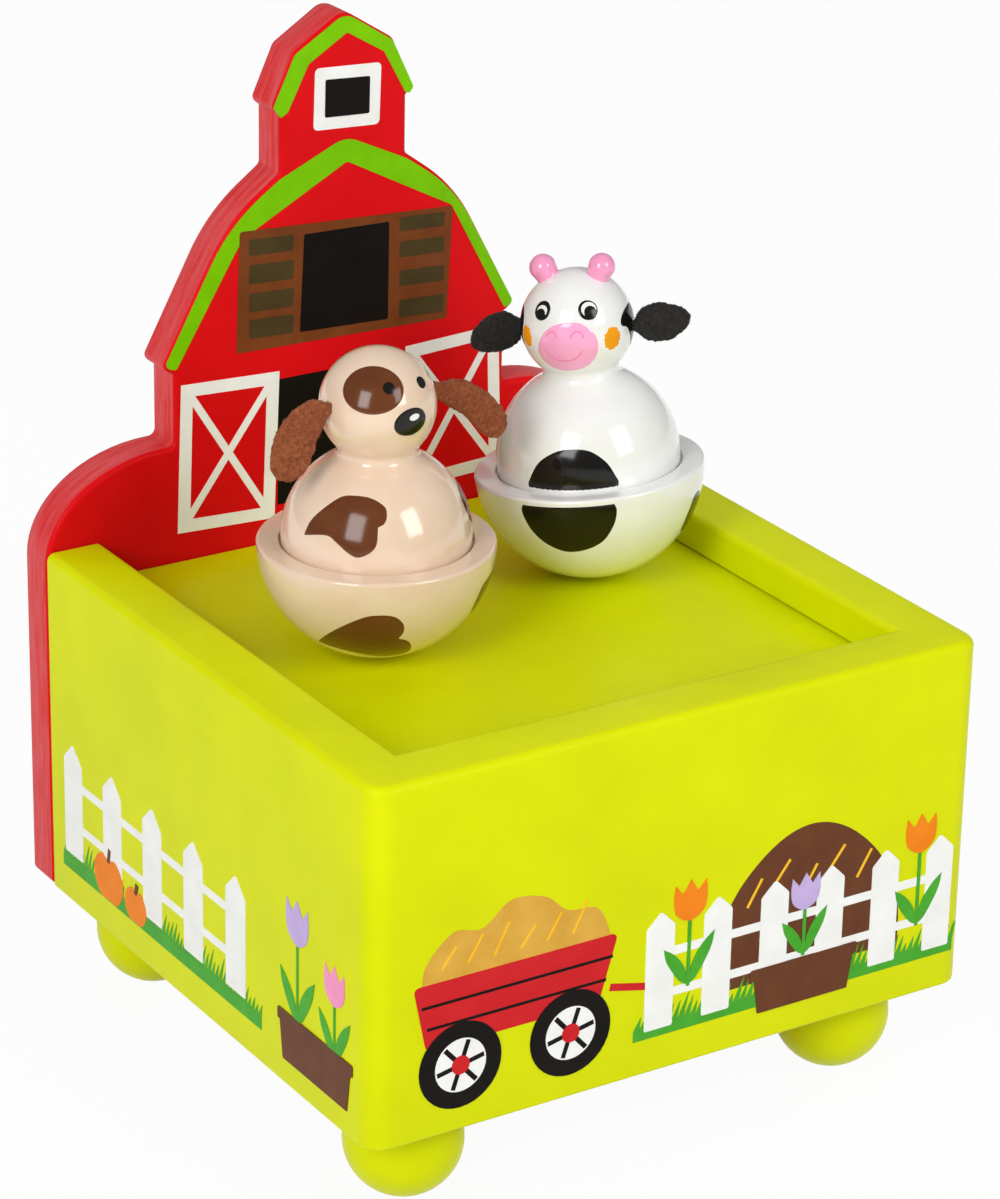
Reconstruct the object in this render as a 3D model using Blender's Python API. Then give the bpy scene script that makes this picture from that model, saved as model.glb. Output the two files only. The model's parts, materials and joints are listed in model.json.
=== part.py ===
# Toy music box: a lacquered wooden box on four ball feet, a barn shaped back board and two
# roly-poly animals that a wind-up movement leads round the sunk stage with magnets.
# Metres, +Z up. The origin lies under the middle of the box, at the lowest point of the feet.
# The front of the box faces -Y.

from math import acos, asin, atan2, cos, pi, radians, sin, sqrt, tan

import bmesh
import bpy
from mathutils import Matrix, Vector

# Box
BOX_WIDTH = 0.1100
BOX_DEPTH = 0.1024  # front face to the front of the back board
BOX_HEIGHT = 0.0596
WALL = 0.0101
CORNER_RADIUS = 0.0036  # upright outer corners
EDGE_RADIUS = 0.0011  # every other wall edge
STAGE_DROP = 0.0063  # rim of the walls down to the stage
STAGE_THICKNESS = 0.0030
GROOVE_DEPTH = 0.0030  # the stage slides into the walls this far
BOTTOM_THICKNESS = 0.0050
REBATE_DEPTH = 0.0052  # the bottom board sits under the walls this far
SEAM = 0.0003  # gap between pieces that touch
RUNNING = 0.0001  # radial clearance of a turning shaft
OVERRUN = 0.0010  # how far a cutter passes the face it cuts
TOUCH = 0.0001  # points this close to a face lie on it

# Back board, in heights over its foot and distances from its middle
BOARD_THICKNESS = 0.0076
BOARD_EDGE = 0.0007
SHOULDER_FLAT = 0.0016  # level stretch between the shoulder's arc and the barn wall
SHOULDER_RISE = 0.0163
BARN_HALF = 0.0314
BARN_WALL_FOOT = 0.0733
EAVE_HEIGHT = 0.0870
EAVE_OUT = 0.0021  # roof past the barn wall
KNEE_HALF = 0.0214
KNEE_HEIGHT = 0.1095
NECK_HALF = 0.0118
NECK_FOOT = 0.1165
CUPOLA_EAVE_HEIGHT = 0.1275
CUPOLA_EAVE_OUT = 0.0014
CUPOLA_KNEE_HALF = 0.0092
CUPOLA_KNEE_HEIGHT = 0.1362
BOARD_HEIGHT = 0.1420
SOFT_CORNER = 0.0012
KNEE_ROUND_SHARE = 0.58  # how much of the short slope the knee's arc takes
CUPOLA_KNEE_ROUND = 0.0022
APEX_ROUND = 0.0030

# Ball feet
FOOT_RADIUS = 0.0094
FOOT_SHOW = 0.0172  # how much of the ball shows under the box
FOOT_INSET = 0.0147  # foot centre from the outer faces
FOOT_FLAT = 0.0015  # radius of the small flat that it stands on

# Wood screws
FOOT_SCREW_RADIUS = 0.0014
FOOT_SCREW_LENGTH = 0.0125
FOOT_SCREW_HEAD = 0.0029
BOARD_SCREW_RADIUS = 0.0010
BOARD_SCREW_LENGTH = 0.0130
BOARD_SCREW_HEAD = 0.0019
BOARD_SCREW_INSET = 0.01515  # from the front wall and from the back board
HEAD_RISE = 0.0014  # height of every screw head
HEAD_SHOULDER_SHARE = 0.87  # where the head turns over, of its radius and height

# Turned animals
FIGURE_GAP = 0.0100  # between the two bowls, on opposite sides of their circle
SIDE_ROOM = 0.0050  # left in all beside the two bowls, across the stage
LEDGE_RECESS = 0.0007  # the dome sits this deep in the ledge of the bowl
BOWL_RIM_ROUND = 0.0006
LEDGE_WIDTH = 0.0038  # rim of the bowl round the dome
HEAD_RADIUS = 0.00910
DOG_HEAD_SINK = 0.00195  # from touching balls down to where the head sits
COW_HEAD_SINK = 0.00040
NECK_SHARE = 0.68  # neck radius, of the head's
NECK_FLARE_START = radians(25)  # where the dome leaves its ball for the neck, over its rim
NECK_SWELL_SHARE = 0.30  # how much of the flare is spread wide
DOWEL_RADIUS = 0.0020  # dowel that joins head and dome
DOWEL_LENGTH = 0.0050
STEM_RADIUS = 0.0045  # stem of the dome in the bowl
STEM_FLOOR = 0.0044  # under the stem, over the base magnet
BASE_MAGNET_RADIUS = 0.0050
BASE_MAGNET_HEIGHT = 0.0030
BASE_SKIN = 0.0016  # wood left under the base magnet
DOG_FACE_AZIMUTH = radians(4)
COW_FACE_AZIMUTH = radians(-46)
COW_LEAN = radians(6.5)
COW_LEAN_TOWARDS = radians(125)
EAR_THICKNESS = 0.0016
DOG_EAR_LENGTH = 0.0142
DOG_EAR_WIDTH = 0.0066
DOG_EAR_DROPS = {"left": (radians(42), radians(84)), "right": (radians(8), radians(62))}  # root, tip
DOG_EAR_RISE = 0.0006  # ear root over the head centre
COW_EAR_LENGTH = 0.0090
COW_EAR_WIDTH = 0.0068
COW_EAR_DROPS = {"left": (radians(8), radians(8)), "right": (radians(-3), radians(-3))}
COW_EAR_RISE = 0.0002
EAR_CUP = 0.0006  # how far the ear tip curls forward
DOG_EAR_SHARES = (0.40, 0.66, 0.84, 0.95, 1.00, 0.97, 0.82, 0.50)
COW_EAR_SHARES = (0.30, 0.78, 0.95, 1.00, 0.96, 0.84, 0.62, 0.20)
HORN_RADIUS = 0.0022
HORN_BASE_RADIUS = 0.00195
HORN_RISE = 0.0012  # widest place of the horn over the head
HORN_SPLAY = radians(27)  # off the head's upright axis
HORN_SWEEP = radians(-2)  # behind the line of the ears

# Where the magnets lead the animals
TURN_AXIS_SIDE = 0.0020  # turning axis right of the box's middle
ORBIT_MARGIN = 0.0005  # between a bowl and the back board as it passes
DOG_ORBIT_ANGLE = radians(189.6)
COW_ORBIT_ANGLE = radians(15.8)
DRIVE_MAGNET_RADIUS = 0.0050
DRIVE_MAGNET_HEIGHT = 0.0030
DRIVE_MAGNET_SEAT = 0.0015  # sunk into the turntable
MAGNET_AIR = 0.0008  # drive magnet to the underside of the stage
TURNTABLE_RIM = 0.0024
TURNTABLE_THICKNESS = 0.0030
TURNTABLE_HUB_RADIUS = 0.0050
TURNTABLE_HUB_LENGTH = 0.0060

# Wind-up movement: spring barrel, crown wheel and arbor
BED_THICKNESS = 0.0030
BED_CORNER = 0.0020
BED_BEHIND_BARREL = 0.0015  # bed past the barrel on the left
BARREL_RADIUS = 0.0120
BARREL_WALL = 0.0009
BARREL_HEIGHT = 0.0090
BARREL_RISE = 0.0038  # bed to the underside of the barrel
ARBOR_RADIUS = 0.0020
ARBOR_HUB_RADIUS = 0.0029
COLLAR_RADIUS = 0.0036
COLLAR_HEIGHT = 0.0026
LID_THICKNESS = 0.0012
SHAFT_RADIUS = 0.0022
SPRING_THICKNESS = 0.00035
SPRING_TURNS = 6
WRAP_WIRE = 0.0004  # wire radius of the one-way wrap spring
WRAP_TURNS = 3

# Key under the box
KEY_HUB_RADIUS = 0.0034
KEY_HUB_LENGTH = 0.0050
KEY_WING_SPAN = 0.0240
KEY_WING_HEIGHT = 0.0090
KEY_WING_THICKNESS = 0.0016
KEY_DROP = 0.0010  # bottom board to the top of the key
KEY_SKIN = 0.0008  # metal left under the arbor
KEY_HOLE_RADIUS = 0.0042  # in the bottom board, round the arbor

# Gears: teeth and modules
CROWN_TEETH = 40
CROWN_PINION_TEETH = 10
CROWN_FACE = 0.0021  # radial width of the crown teeth
CYLINDER_GEAR_TEETH = 24
WHEEL_PINION_TEETH = 8
WORM_WHEEL_TEETH = 20
TRAIN_MODULE = 0.00064
WORM_MODULE = 0.00050
GEAR_FACE = 0.0012
MESH_PLAY = 0.00012  # added to each centre distance
TOOTH_SHARE = 0.38  # tooth thickness at the pitch circle, as a share of the pitch
TIP_SHARE = 0.20
ADDENDUM_SHARE = 0.80  # tooth height over the pitch circle, in modules
DEDENDUM_SHARE = 1.15

# Pinned cylinder and comb
NOTES = 18
PINS_PER_NOTE = 3
CYLINDER_RADIUS = 0.0062
MOVEMENT_GAP = 0.0041  # between the bed and the right wall
CYLINDER_END = 0.0006  # plain end past the outer tracks
PIN_HEIGHT = 0.0008
PIN_RADIUS = 0.00026
PIN_TURN = radians(137.5)  # step from pin to pin round the cylinder
CYLINDER_ARBOR_RADIUS = 0.0010
COMB_THICKNESS = 0.0010
COMB_CLEARANCE = 0.0003  # tooth tips to the pins
COMB_BODY = 0.0065
COMB_SHORTEST_TOOTH = 0.0055
COMB_LONGEST_TOOTH = 0.0092
COMB_SLIT_SHARE = 0.294  # slit between two teeth, of the pitch of the notes
COMB_BORDER = 0.0013
METAL_SCREW_RADIUS = 0.0010
METAL_SCREW_HEAD = 0.0019
METAL_SCREW_GRIP = 0.0030  # how far a comb screw goes into its block
BRACKET_SCREW_GRIP = 0.0022  # how far the bracket screw goes into the bed
COMB_SCREW_INSET_SHARE = 0.188  # comb screws from the cylinder's ends, of its length
TOOTH_SINK = 0.0003  # how far the crown teeth start inside their disc

# Bearings and governor
POST_THICKNESS = 0.0012
POST_HALF = 0.0016
AXIAL_PLAY = 0.0004
WHEEL_ARBOR_RADIUS = 0.0008
WHEEL_DROP_ANGLE = radians(30)  # governor wheel under the level of the cylinder
WORM_ROOT = 0.0010
WORM_PITCH_RADIUS = 0.0015
WORM_CREST = 0.0019
WORM_THREADS = 5
THREAD_SLOPE = 6  # steepness of the thread's flanks
WORM_SHAFT_RADIUS = 0.0008
PIVOT_RADIUS = 0.0005
PIVOT_LENGTH = 0.0006
BRACKET_THICKNESS = 0.0009
BRACKET_ARM_RISE = 0.0022  # bracket arm over the top of the cylinder gear
FAN_RADIUS = 0.0042
FAN_HEIGHT = 0.0052
FAN_THICKNESS = 0.0005
FAN_HUB_RADIUS = 0.0016

# Facets
BALL_STEPS = 28  # round a full turn, as are the next seven
FOOT_STEPS = 20
SMALL_STEPS = 16
SPRING_STEPS = 12
FAN_STEPS = 12
WORM_STEPS = 10
SCREW_STEPS = 8
PIN_SIDES = 3
BALL_ROWS = 8  # rows of facets from pole to rim
DOME_ROWS = 12
FOOT_ROWS = 6
HORN_ROWS = 4
WORM_ROWS = 6  # rows of facets to one thread
SHOULDER_STEPS = 8
WIDE_ARC_STEPS = 4
PLAIN_ARC_STEPS = 3
SHORT_ARC_STEPS = 2
SMOOTH_ANGLE = radians(35)
EAR_SMOOTH_ANGLE = radians(60)

# Levels and places that follow from the sizes
OVERALL_DEPTH = BOX_DEPTH + BOARD_THICKNESS
FRONT = -OVERALL_DEPTH / 2
BACK = OVERALL_DEPTH / 2
BOARD_FRONT = FRONT + BOX_DEPTH
HALF_WIDTH = BOX_WIDTH / 2
SHOULDER_WIDTH = HALF_WIDTH - BARN_HALF - SHOULDER_FLAT
INNER_HALF = HALF_WIDTH - WALL
INNER_FRONT = FRONT + WALL
BOX_FLOOR = FOOT_SHOW
RIM = BOX_FLOOR + BOX_HEIGHT
STAGE_TOP = RIM - STAGE_DROP
STAGE_UNDER = STAGE_TOP - STAGE_THICKNESS
BOTTOM_TOP = BOX_FLOOR + BOTTOM_THICKNESS
STAGE_SPAN = min(2 * INNER_HALF, BOARD_FRONT - INNER_FRONT)  # the shorter way across the stage
BOWL_RADIUS = (STAGE_SPAN - FIGURE_GAP - SIDE_ROOM) / 4
DOME_RADIUS = BOWL_RADIUS - LEDGE_WIDTH
DOG_HEAD_HEIGHT = DOME_RADIUS + HEAD_RADIUS - DOG_HEAD_SINK  # head centre over the bowl's rim
COW_HEAD_HEIGHT = DOME_RADIUS + HEAD_RADIUS - COW_HEAD_SINK
NECK_RADIUS = HEAD_RADIUS * NECK_SHARE
STEM_LENGTH = BOWL_RADIUS - LEDGE_RECESS - BASE_SKIN - BASE_MAGNET_HEIGHT - STEM_FLOOR
ORBIT = BOWL_RADIUS + FIGURE_GAP / 2
AXIS_Y = BOARD_FRONT - ORBIT_MARGIN - BOWL_RADIUS - ORBIT
BED_UNDER = BOTTOM_TOP + SEAM
BED_TOP = BED_UNDER + BED_THICKNESS
BARREL_UNDER = BED_TOP + BARREL_RISE
BARREL_TOP = BARREL_UNDER + BARREL_HEIGHT
LID_UNDER = BARREL_TOP + SEAM
LID_TOP = LID_UNDER + LID_THICKNESS
CROWN_OUTER = BARREL_RADIUS
CROWN_INNER = CROWN_OUTER - CROWN_FACE
CROWN_MID = (CROWN_OUTER + CROWN_INNER) / 2
CROWN_MODULE = 2 * CROWN_MID / CROWN_TEETH
CROWN_PINION_PITCH = CROWN_MODULE * CROWN_PINION_TEETH / 2
CROWN_TIP = LID_TOP + CROWN_MODULE * (ADDENDUM_SHARE + DEDENDUM_SHARE)
CYLINDER_Z = LID_TOP + CROWN_MODULE * DEDENDUM_SHARE + CROWN_PINION_PITCH + MESH_PLAY
PIN_REACH = CYLINDER_RADIUS + PIN_HEIGHT
POST_A = BARREL_RADIUS + AXIAL_PLAY  # first bearing post, just outside the barrel
CYLINDER_START = POST_A + POST_THICKNESS + AXIAL_PLAY
BED_LEFT = -(BARREL_RADIUS + BED_BEHIND_BARREL)
BED_RIGHT = INNER_HALF - MOVEMENT_GAP - TURN_AXIS_SIDE
BRACKET_OUT = BED_RIGHT - SEAM
BRACKET_X = BRACKET_OUT - BRACKET_THICKNESS
WORM_X = BRACKET_X - SEAM - FAN_RADIUS
WORM_WHEEL_START = WORM_X - GEAR_FACE / 2
POST_B = WORM_WHEEL_START  # second bearing post, past the gear
TRAIN_STOP = POST_B - AXIAL_PLAY
TRAIN_START = TRAIN_STOP - GEAR_FACE
CYLINDER_STOP = TRAIN_START - AXIAL_PLAY
CYLINDER_LENGTH = CYLINDER_STOP - CYLINDER_START
NOTE_PITCH = (CYLINDER_LENGTH - 2 * CYLINDER_END) / NOTES
CYLINDER_GEAR_PITCH = TRAIN_MODULE * CYLINDER_GEAR_TEETH / 2
WHEEL_PINION_PITCH = TRAIN_MODULE * WHEEL_PINION_TEETH / 2
CYLINDER_GEAR_TIP = CYLINDER_GEAR_PITCH + TRAIN_MODULE * ADDENDUM_SHARE
TRAIN_DISTANCE = CYLINDER_GEAR_PITCH + WHEEL_PINION_PITCH + MESH_PLAY
WHEEL_Y = AXIS_Y + TRAIN_DISTANCE * cos(WHEEL_DROP_ANGLE)
WHEEL_Z = CYLINDER_Z - TRAIN_DISTANCE * sin(WHEEL_DROP_ANGLE)
WORM_WHEEL_PITCH = WORM_MODULE * WORM_WHEEL_TEETH / 2
WORM_LEAD = pi * WORM_MODULE
WORM_Y = WHEEL_Y + WORM_WHEEL_PITCH + WORM_PITCH_RADIUS + MESH_PLAY
POST_C = TRAIN_START - AXIAL_PLAY - POST_THICKNESS
BRACKET_UNDER = BED_TOP + SEAM
BRACKET_TOP = CYLINDER_Z + CYLINDER_GEAR_TIP + BRACKET_ARM_RISE
BRACKET_FRONT = WHEEL_Y - 2 * WHEEL_ARBOR_RADIUS
BRACKET_BACK = WORM_Y + 3 * METAL_SCREW_HEAD
BRACKET_START = POST_C + POST_THICKNESS + SEAM
COMB_TIP_Y = AXIS_Y - PIN_REACH - COMB_CLEARANCE
COMB_BODY_Y = COMB_TIP_Y - COMB_LONGEST_TOOTH
COMB_BACK_Y = COMB_BODY_Y - COMB_BODY
COMB_Z = CYLINDER_Z - COMB_THICKNESS / 2
BED_FRONT = COMB_BACK_Y
BED_BACK = BRACKET_BACK + SEAM
DRIVE_MAGNET_TOP = STAGE_UNDER - MAGNET_AIR
TURNTABLE_TOP = DRIVE_MAGNET_TOP - DRIVE_MAGNET_HEIGHT + DRIVE_MAGNET_SEAT
TURNTABLE_UNDER = TURNTABLE_TOP - TURNTABLE_THICKNESS
TURNTABLE_RADIUS = ORBIT + DRIVE_MAGNET_RADIUS + TURNTABLE_RIM
BOWL_Z = STAGE_TOP + SEAM + BOWL_RADIUS
KEY_TOP = BOX_FLOOR - KEY_DROP

MATERIALS = {
    # name: (red, green, blue, roughness, metallic)
    "lime_lacquer": (0.68, 0.75, 0.0, 0.35, 0.0),
    "red_lacquer": (0.77, 0.02, 0.02, 0.38, 0.0),
    "bare_plywood": (0.60, 0.42, 0.24, 0.70, 0.0),
    "beige_lacquer": (0.80, 0.60, 0.43, 0.22, 0.0),
    "white_lacquer": (0.88, 0.88, 0.86, 0.22, 0.0),
    "pink_lacquer": (0.95, 0.38, 0.60, 0.25, 0.0),
    "brown_felt": (0.14, 0.04, 0.02, 0.95, 0.0),
    "black_felt": (0.01, 0.01, 0.01, 0.95, 0.0),
    "zinc_casting": (0.52, 0.53, 0.55, 0.45, 0.9),
    "brass": (0.78, 0.57, 0.22, 0.30, 1.0),
    "spring_steel": (0.42, 0.43, 0.45, 0.30, 1.0),
    "plated_steel": (0.66, 0.66, 0.65, 0.28, 1.0),
    "magnet_nickel": (0.60, 0.60, 0.60, 0.20, 1.0),
    "fan_plastic": (0.85, 0.84, 0.78, 0.50, 0.0),
}


def clear_scene():
    for old in list(bpy.data.objects):
        bpy.data.objects.remove(old, do_unlink=True)


def finish_of(name):
    """The material of that name, made once."""
    found = bpy.data.materials.get(name)
    if found:
        return found
    red, green, blue, roughness, metallic = MATERIALS[name]
    made = bpy.data.materials.new(name)
    made.use_nodes = True
    shader = made.node_tree.nodes["Principled BSDF"]
    shader.inputs["Base Color"].default_value = (red, green, blue, 1)
    shader.inputs["Roughness"].default_value = roughness
    shader.inputs["Metallic"].default_value = metallic
    made.diffuse_color = (red, green, blue, 1)
    return made


def place(name, mesh, finish, at=(0, 0, 0), turn=None, parent=None):
    """A named object that holds the mesh, at a place and a turn in its parent's space."""
    made = bpy.data.objects.new(name, mesh)
    bpy.context.scene.collection.objects.link(made)
    if finish:
        mesh.materials.clear()
        mesh.materials.append(finish_of(finish))
    made.parent = parent
    made.matrix_local = Matrix.Translation(at) @ (turn or Matrix.Identity(4))
    return made


def axis_empty(name, at, turn=None, parent=None):
    """An empty on a joint's axis, which carries the pieces that move together."""
    made = bpy.data.objects.new(name, None)
    bpy.context.scene.collection.objects.link(made)
    made.parent = parent
    made.matrix_local = Matrix.Translation(at) @ (turn or Matrix.Identity(4))
    return made


def smooth(mesh, angle=SMOOTH_ANGLE):
    mesh.shade_smooth()
    mesh.set_sharp_from_angle(angle=angle)
    return mesh


def mesh_from(name, points, faces):
    made = bpy.data.meshes.new(name)
    made.from_pydata(points, [], faces)
    made.validate()
    made.update()
    return made


def turned(name, profile, steps, ring=False):
    """A turned piece: the profile of (radius, height) points, listed from its lowest end up its
    outer side, spun about Z. Without ring both ends lie on the axis; with it the profile closes
    on itself round a bore."""
    points, rows = [], []
    for radius, height in profile:
        start = len(points)
        if radius == 0:
            points.append((0, 0, height))
            rows.append([start] * steps)
            continue
        for step in range(steps):
            angle = 2 * pi * step / steps
            points.append((radius * cos(angle), radius * sin(angle), height))
        rows.append(list(range(start, start + steps)))
    pairs = list(zip(rows, rows[1:]))
    if ring:
        pairs.append((rows[-1], rows[0]))
    faces = []
    for low, high in pairs:
        for step in range(steps):
            following = (step + 1) % steps
            corners = [low[step], low[following], high[following], high[step]]
            face = [c for i, c in enumerate(corners) if c not in corners[:i]]
            if len(face) > 2:
                faces.append(face)
    return smooth(mesh_from(name, points, faces))


def arc(centre, radius, start, stop, steps):
    """Points (first, second coordinate) along a circular arc."""
    return [
        (
            centre[0] + radius * cos(start + (stop - start) * i / steps),
            centre[1] + radius * sin(start + (stop - start) * i / steps),
        )
        for i in range(steps + 1)
    ]


def rounded(corners):
    """An outline whose corners (x, y, radius, steps) are rounded by arcs."""
    outline = []
    count = len(corners)
    for i, (x, y, radius, steps) in enumerate(corners):
        here = Vector((x, y))
        before = (Vector(corners[i - 1][:2]) - here).normalized()
        after = (Vector(corners[(i + 1) % count][:2]) - here).normalized()
        if radius == 0:
            outline.append((x, y))
            continue
        half = acos(max(-1, min(1, before.dot(after)))) / 2
        centre = here + (before + after).normalized() * (radius / sin(half))
        first = here + before * (radius / tan(half)) - centre
        last = here + after * (radius / tan(half)) - centre
        start = atan2(first.y, first.x)
        sweep = (atan2(last.y, last.x) - start + pi) % (2 * pi) - pi
        outline += arc(centre, radius, start, start + sweep, steps)
    return outline


def corner_radius(before, corner, after, share):
    """The radius whose arc takes that share of the shorter edge at a corner."""
    first, second = Vector(before) - Vector(corner), Vector(after) - Vector(corner)
    return share * min(first.length, second.length) * tan(first.angle(second) / 2)


def prism(name, outline, low, high, up="Z"):
    """The outline raised from low to high along an axis. Its points are (x, y) for Z,
    (y, z) for X and (x, z) for Y."""
    shape = bmesh.new()
    order = {
        "X": lambda a, b, c: (c, a, b),
        "Y": lambda a, b, c: (a, c, b),
        "Z": lambda a, b, c: (a, b, c),
    }[up]
    ends = [[shape.verts.new(order(a, b, level)) for a, b in outline] for level in (low, high)]
    shape.faces.new(ends[0][::-1])
    shape.faces.new(ends[1])
    count = len(outline)
    for i in range(count):
        j = (i + 1) % count
        shape.faces.new((ends[0][i], ends[0][j], ends[1][j], ends[1][i]))
    bmesh.ops.recalc_face_normals(shape, faces=shape.faces)
    made = bpy.data.meshes.new(name)
    shape.to_mesh(made)
    shape.free()
    return made


def block(name, low, high):
    """A plain box between two corners."""
    outline = [(low[0], low[1]), (high[0], low[1]), (high[0], high[1]), (low[0], high[1])]
    return prism(name, outline, low[2], high[2])


def rod(name, radius, low, high, steps=SMALL_STEPS, chamfer=0.0):
    """A plain round bar along Z."""
    ends = [(0, low), (radius - chamfer, low)]
    if chamfer:
        ends.append((radius, low + chamfer))
    others = [(r, low + high - z) for r, z in reversed(ends)]
    return turned(name, ends + others, steps)


def soften(mesh, edges_of, radius, steps):
    """Rounds the edges that the test picks, given an edge's two ends."""
    shape = bmesh.new()
    shape.from_mesh(mesh)
    picked = [e for e in shape.edges if edges_of(e.verts[0].co, e.verts[1].co)]
    bmesh.ops.bevel(
        shape, geom=picked, offset=radius, segments=steps, profile=0.5, affect="EDGES", clamp_overlap=True
    )
    shape.to_mesh(mesh)
    shape.free()
    return smooth(mesh)


def boolean(piece, operation, shapes, turns=None):
    """Joins shapes to a piece or cuts them from it. The shapes stay hidden as its guides."""
    for i, shape in enumerate(shapes):
        guide = place(f"{piece.name}_{operation.lower()}_{i}_{len(piece.modifiers)}", shape, None)
        guide.parent = piece.parent
        guide.matrix_local = turns[i] if turns else Matrix.Identity(4)
        guide.hide_render = True
        guide.display_type = "WIRE"
        change = piece.modifiers.new(f"{operation.lower()} {i}", "BOOLEAN")
        change.operation = operation
        change.solver = "EXACT"
        change.object = guide
    return piece


def hole(radius, low, high, x, y, steps=SMALL_STEPS):
    """An upright round cutter."""
    made = rod("cutter", radius, low, high, steps)
    made.transform(Matrix.Translation((x, y, 0)))
    return made


def cross_hole(radius, low, high, y, z, steps=SMALL_STEPS):
    """A round cutter along X."""
    made = rod("cutter", radius, low, high, steps)
    made.transform(Matrix.Translation((0, y, z)) @ Matrix.Rotation(pi / 2, 4, "Y"))
    return made


def merged(name, meshes):
    """Separate bodies put in one mesh, for one cut or join."""
    shape = bmesh.new()
    for mesh in meshes:
        shape.from_mesh(mesh)
    made = bpy.data.meshes.new(name)
    shape.to_mesh(made)
    shape.free()
    return made


def screw(name, radius, length, head, finish, at, upward=False, parent=None):
    """A round-headed screw. Its head stands outside the place given and its shank goes in."""
    profile = [
        (0, -length),
        (radius / 2, -length),
        (radius, -length + 2 * radius),
        (radius, 0),
        (head, 0),
        (head * HEAD_SHOULDER_SHARE, HEAD_RISE * HEAD_SHOULDER_SHARE),
        (0, HEAD_RISE),
    ]
    turn = Matrix.Rotation(pi, 4, "X") if upward else None
    return place(name, turned(name, profile, SCREW_STEPS), finish, at, turn, parent)


# Box carcass

def wall_edges(x_faces, y_faces, z_faces):
    """Picks the level edges that lie on two named faces of a wall."""
    def pick(a, b):
        on = 0
        for values, axis in ((x_faces, 0), (y_faces, 1), (z_faces, 2)):
            on += any(abs(a[axis] - v) < TOUCH and abs(b[axis] - v) < TOUCH for v in values)
        return on >= 2
    return pick


def front_wall():
    low = (-HALF_WIDTH, FRONT, BOX_FLOOR)
    high = (HALF_WIDTH, INNER_FRONT, RIM)
    mesh = block("front_wall", low, high)
    upright = wall_edges((-HALF_WIDTH, HALF_WIDTH), (FRONT,), ())
    soften(mesh, upright, CORNER_RADIUS, WIDE_ARC_STEPS)
    level = wall_edges((), (FRONT, INNER_FRONT), (RIM,))
    soften(mesh, level, EDGE_RADIUS, SHORT_ARC_STEPS)
    piece = place("front_wall", mesh, "lime_lacquer")
    groove = block(
        "cutter",
        (-INNER_HALF - GROOVE_DEPTH, INNER_FRONT - GROOVE_DEPTH, STAGE_UNDER - SEAM),
        (INNER_HALF + GROOVE_DEPTH, INNER_FRONT + OVERRUN, STAGE_TOP + SEAM),
    )
    rebate = block(
        "cutter",
        (-INNER_HALF - REBATE_DEPTH, INNER_FRONT - REBATE_DEPTH, BOX_FLOOR - OVERRUN),
        (INNER_HALF + REBATE_DEPTH, INNER_FRONT + OVERRUN, BOTTOM_TOP + SEAM),
    )
    return boolean(piece, "DIFFERENCE", [groove, rebate])


def board_screw_places():
    """Middle of each screw that holds the bottom board to a side wall: (side, x, y)."""
    x = INNER_HALF + REBATE_DEPTH / 2
    ends = (("front", INNER_FRONT + BOARD_SCREW_INSET), ("back", BOARD_FRONT - BOARD_SCREW_INSET))
    return [
        (side, end, sign * x, y)
        for side, sign in (("left", -1), ("right", 1))
        for end, y in ends
    ]


def side_wall(side):
    sign = {"left": -1, "right": 1}[side]
    outer, inner = sign * HALF_WIDTH, sign * INNER_HALF
    ends = (INNER_FRONT + SEAM, BOARD_FRONT - SEAM)
    low = (min(outer, inner), ends[0], BOX_FLOOR)
    high = (max(outer, inner), ends[1], RIM)
    mesh = block(f"{side}_wall", low, high)
    soften(mesh, wall_edges((outer, inner), (), (RIM,)), EDGE_RADIUS, SHORT_ARC_STEPS)
    piece = place(f"{side}_wall", mesh, "lime_lacquer")
    deep, past = inner + sign * GROOVE_DEPTH, inner - sign * OVERRUN
    groove = block(
        "cutter",
        (min(deep, past), ends[0] - OVERRUN, STAGE_UNDER - SEAM),
        (max(deep, past), ends[1] + OVERRUN, STAGE_TOP + SEAM),
    )
    deep = inner + sign * REBATE_DEPTH
    rebate = block(
        "cutter",
        (min(deep, past), ends[0] - OVERRUN, BOX_FLOOR - OVERRUN),
        (max(deep, past), ends[1] + OVERRUN, BOTTOM_TOP + SEAM),
    )
    bore_top = BOX_FLOOR + BOARD_SCREW_LENGTH + SEAM
    bores = [
        hole(BOARD_SCREW_RADIUS + SEAM, BOX_FLOOR, bore_top, x, y, SCREW_STEPS)
        for of_side, _, x, y in board_screw_places()
        if of_side == side
    ]
    return boolean(piece, "DIFFERENCE", [groove, rebate, merged("cutter", bores)])


def stage_plate():
    reach = INNER_HALF + GROOVE_DEPTH - SEAM
    mesh = block(
        "stage_plate",
        (-reach, INNER_FRONT - GROOVE_DEPTH + SEAM, STAGE_UNDER),
        (reach, BOARD_FRONT - SEAM, STAGE_TOP),
    )
    return place("stage_plate", mesh, "lime_lacquer")


def foot_places():
    """Name, x and y of each foot."""
    x = HALF_WIDTH - FOOT_INSET
    return [
        ("front_left", -x, FRONT + FOOT_INSET),
        ("front_right", x, FRONT + FOOT_INSET),
        ("back_left", -x, BACK - FOOT_INSET),
        ("back_right", x, BACK - FOOT_INSET),
    ]


def movement_screw_places():
    """Screws that hold the bed to the bottom board, near its two left corners."""
    inset = 2 * METAL_SCREW_HEAD
    return [("front", BED_LEFT + inset, BED_FRONT + inset), ("back", BED_LEFT + inset, BED_BACK - inset)]


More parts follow.
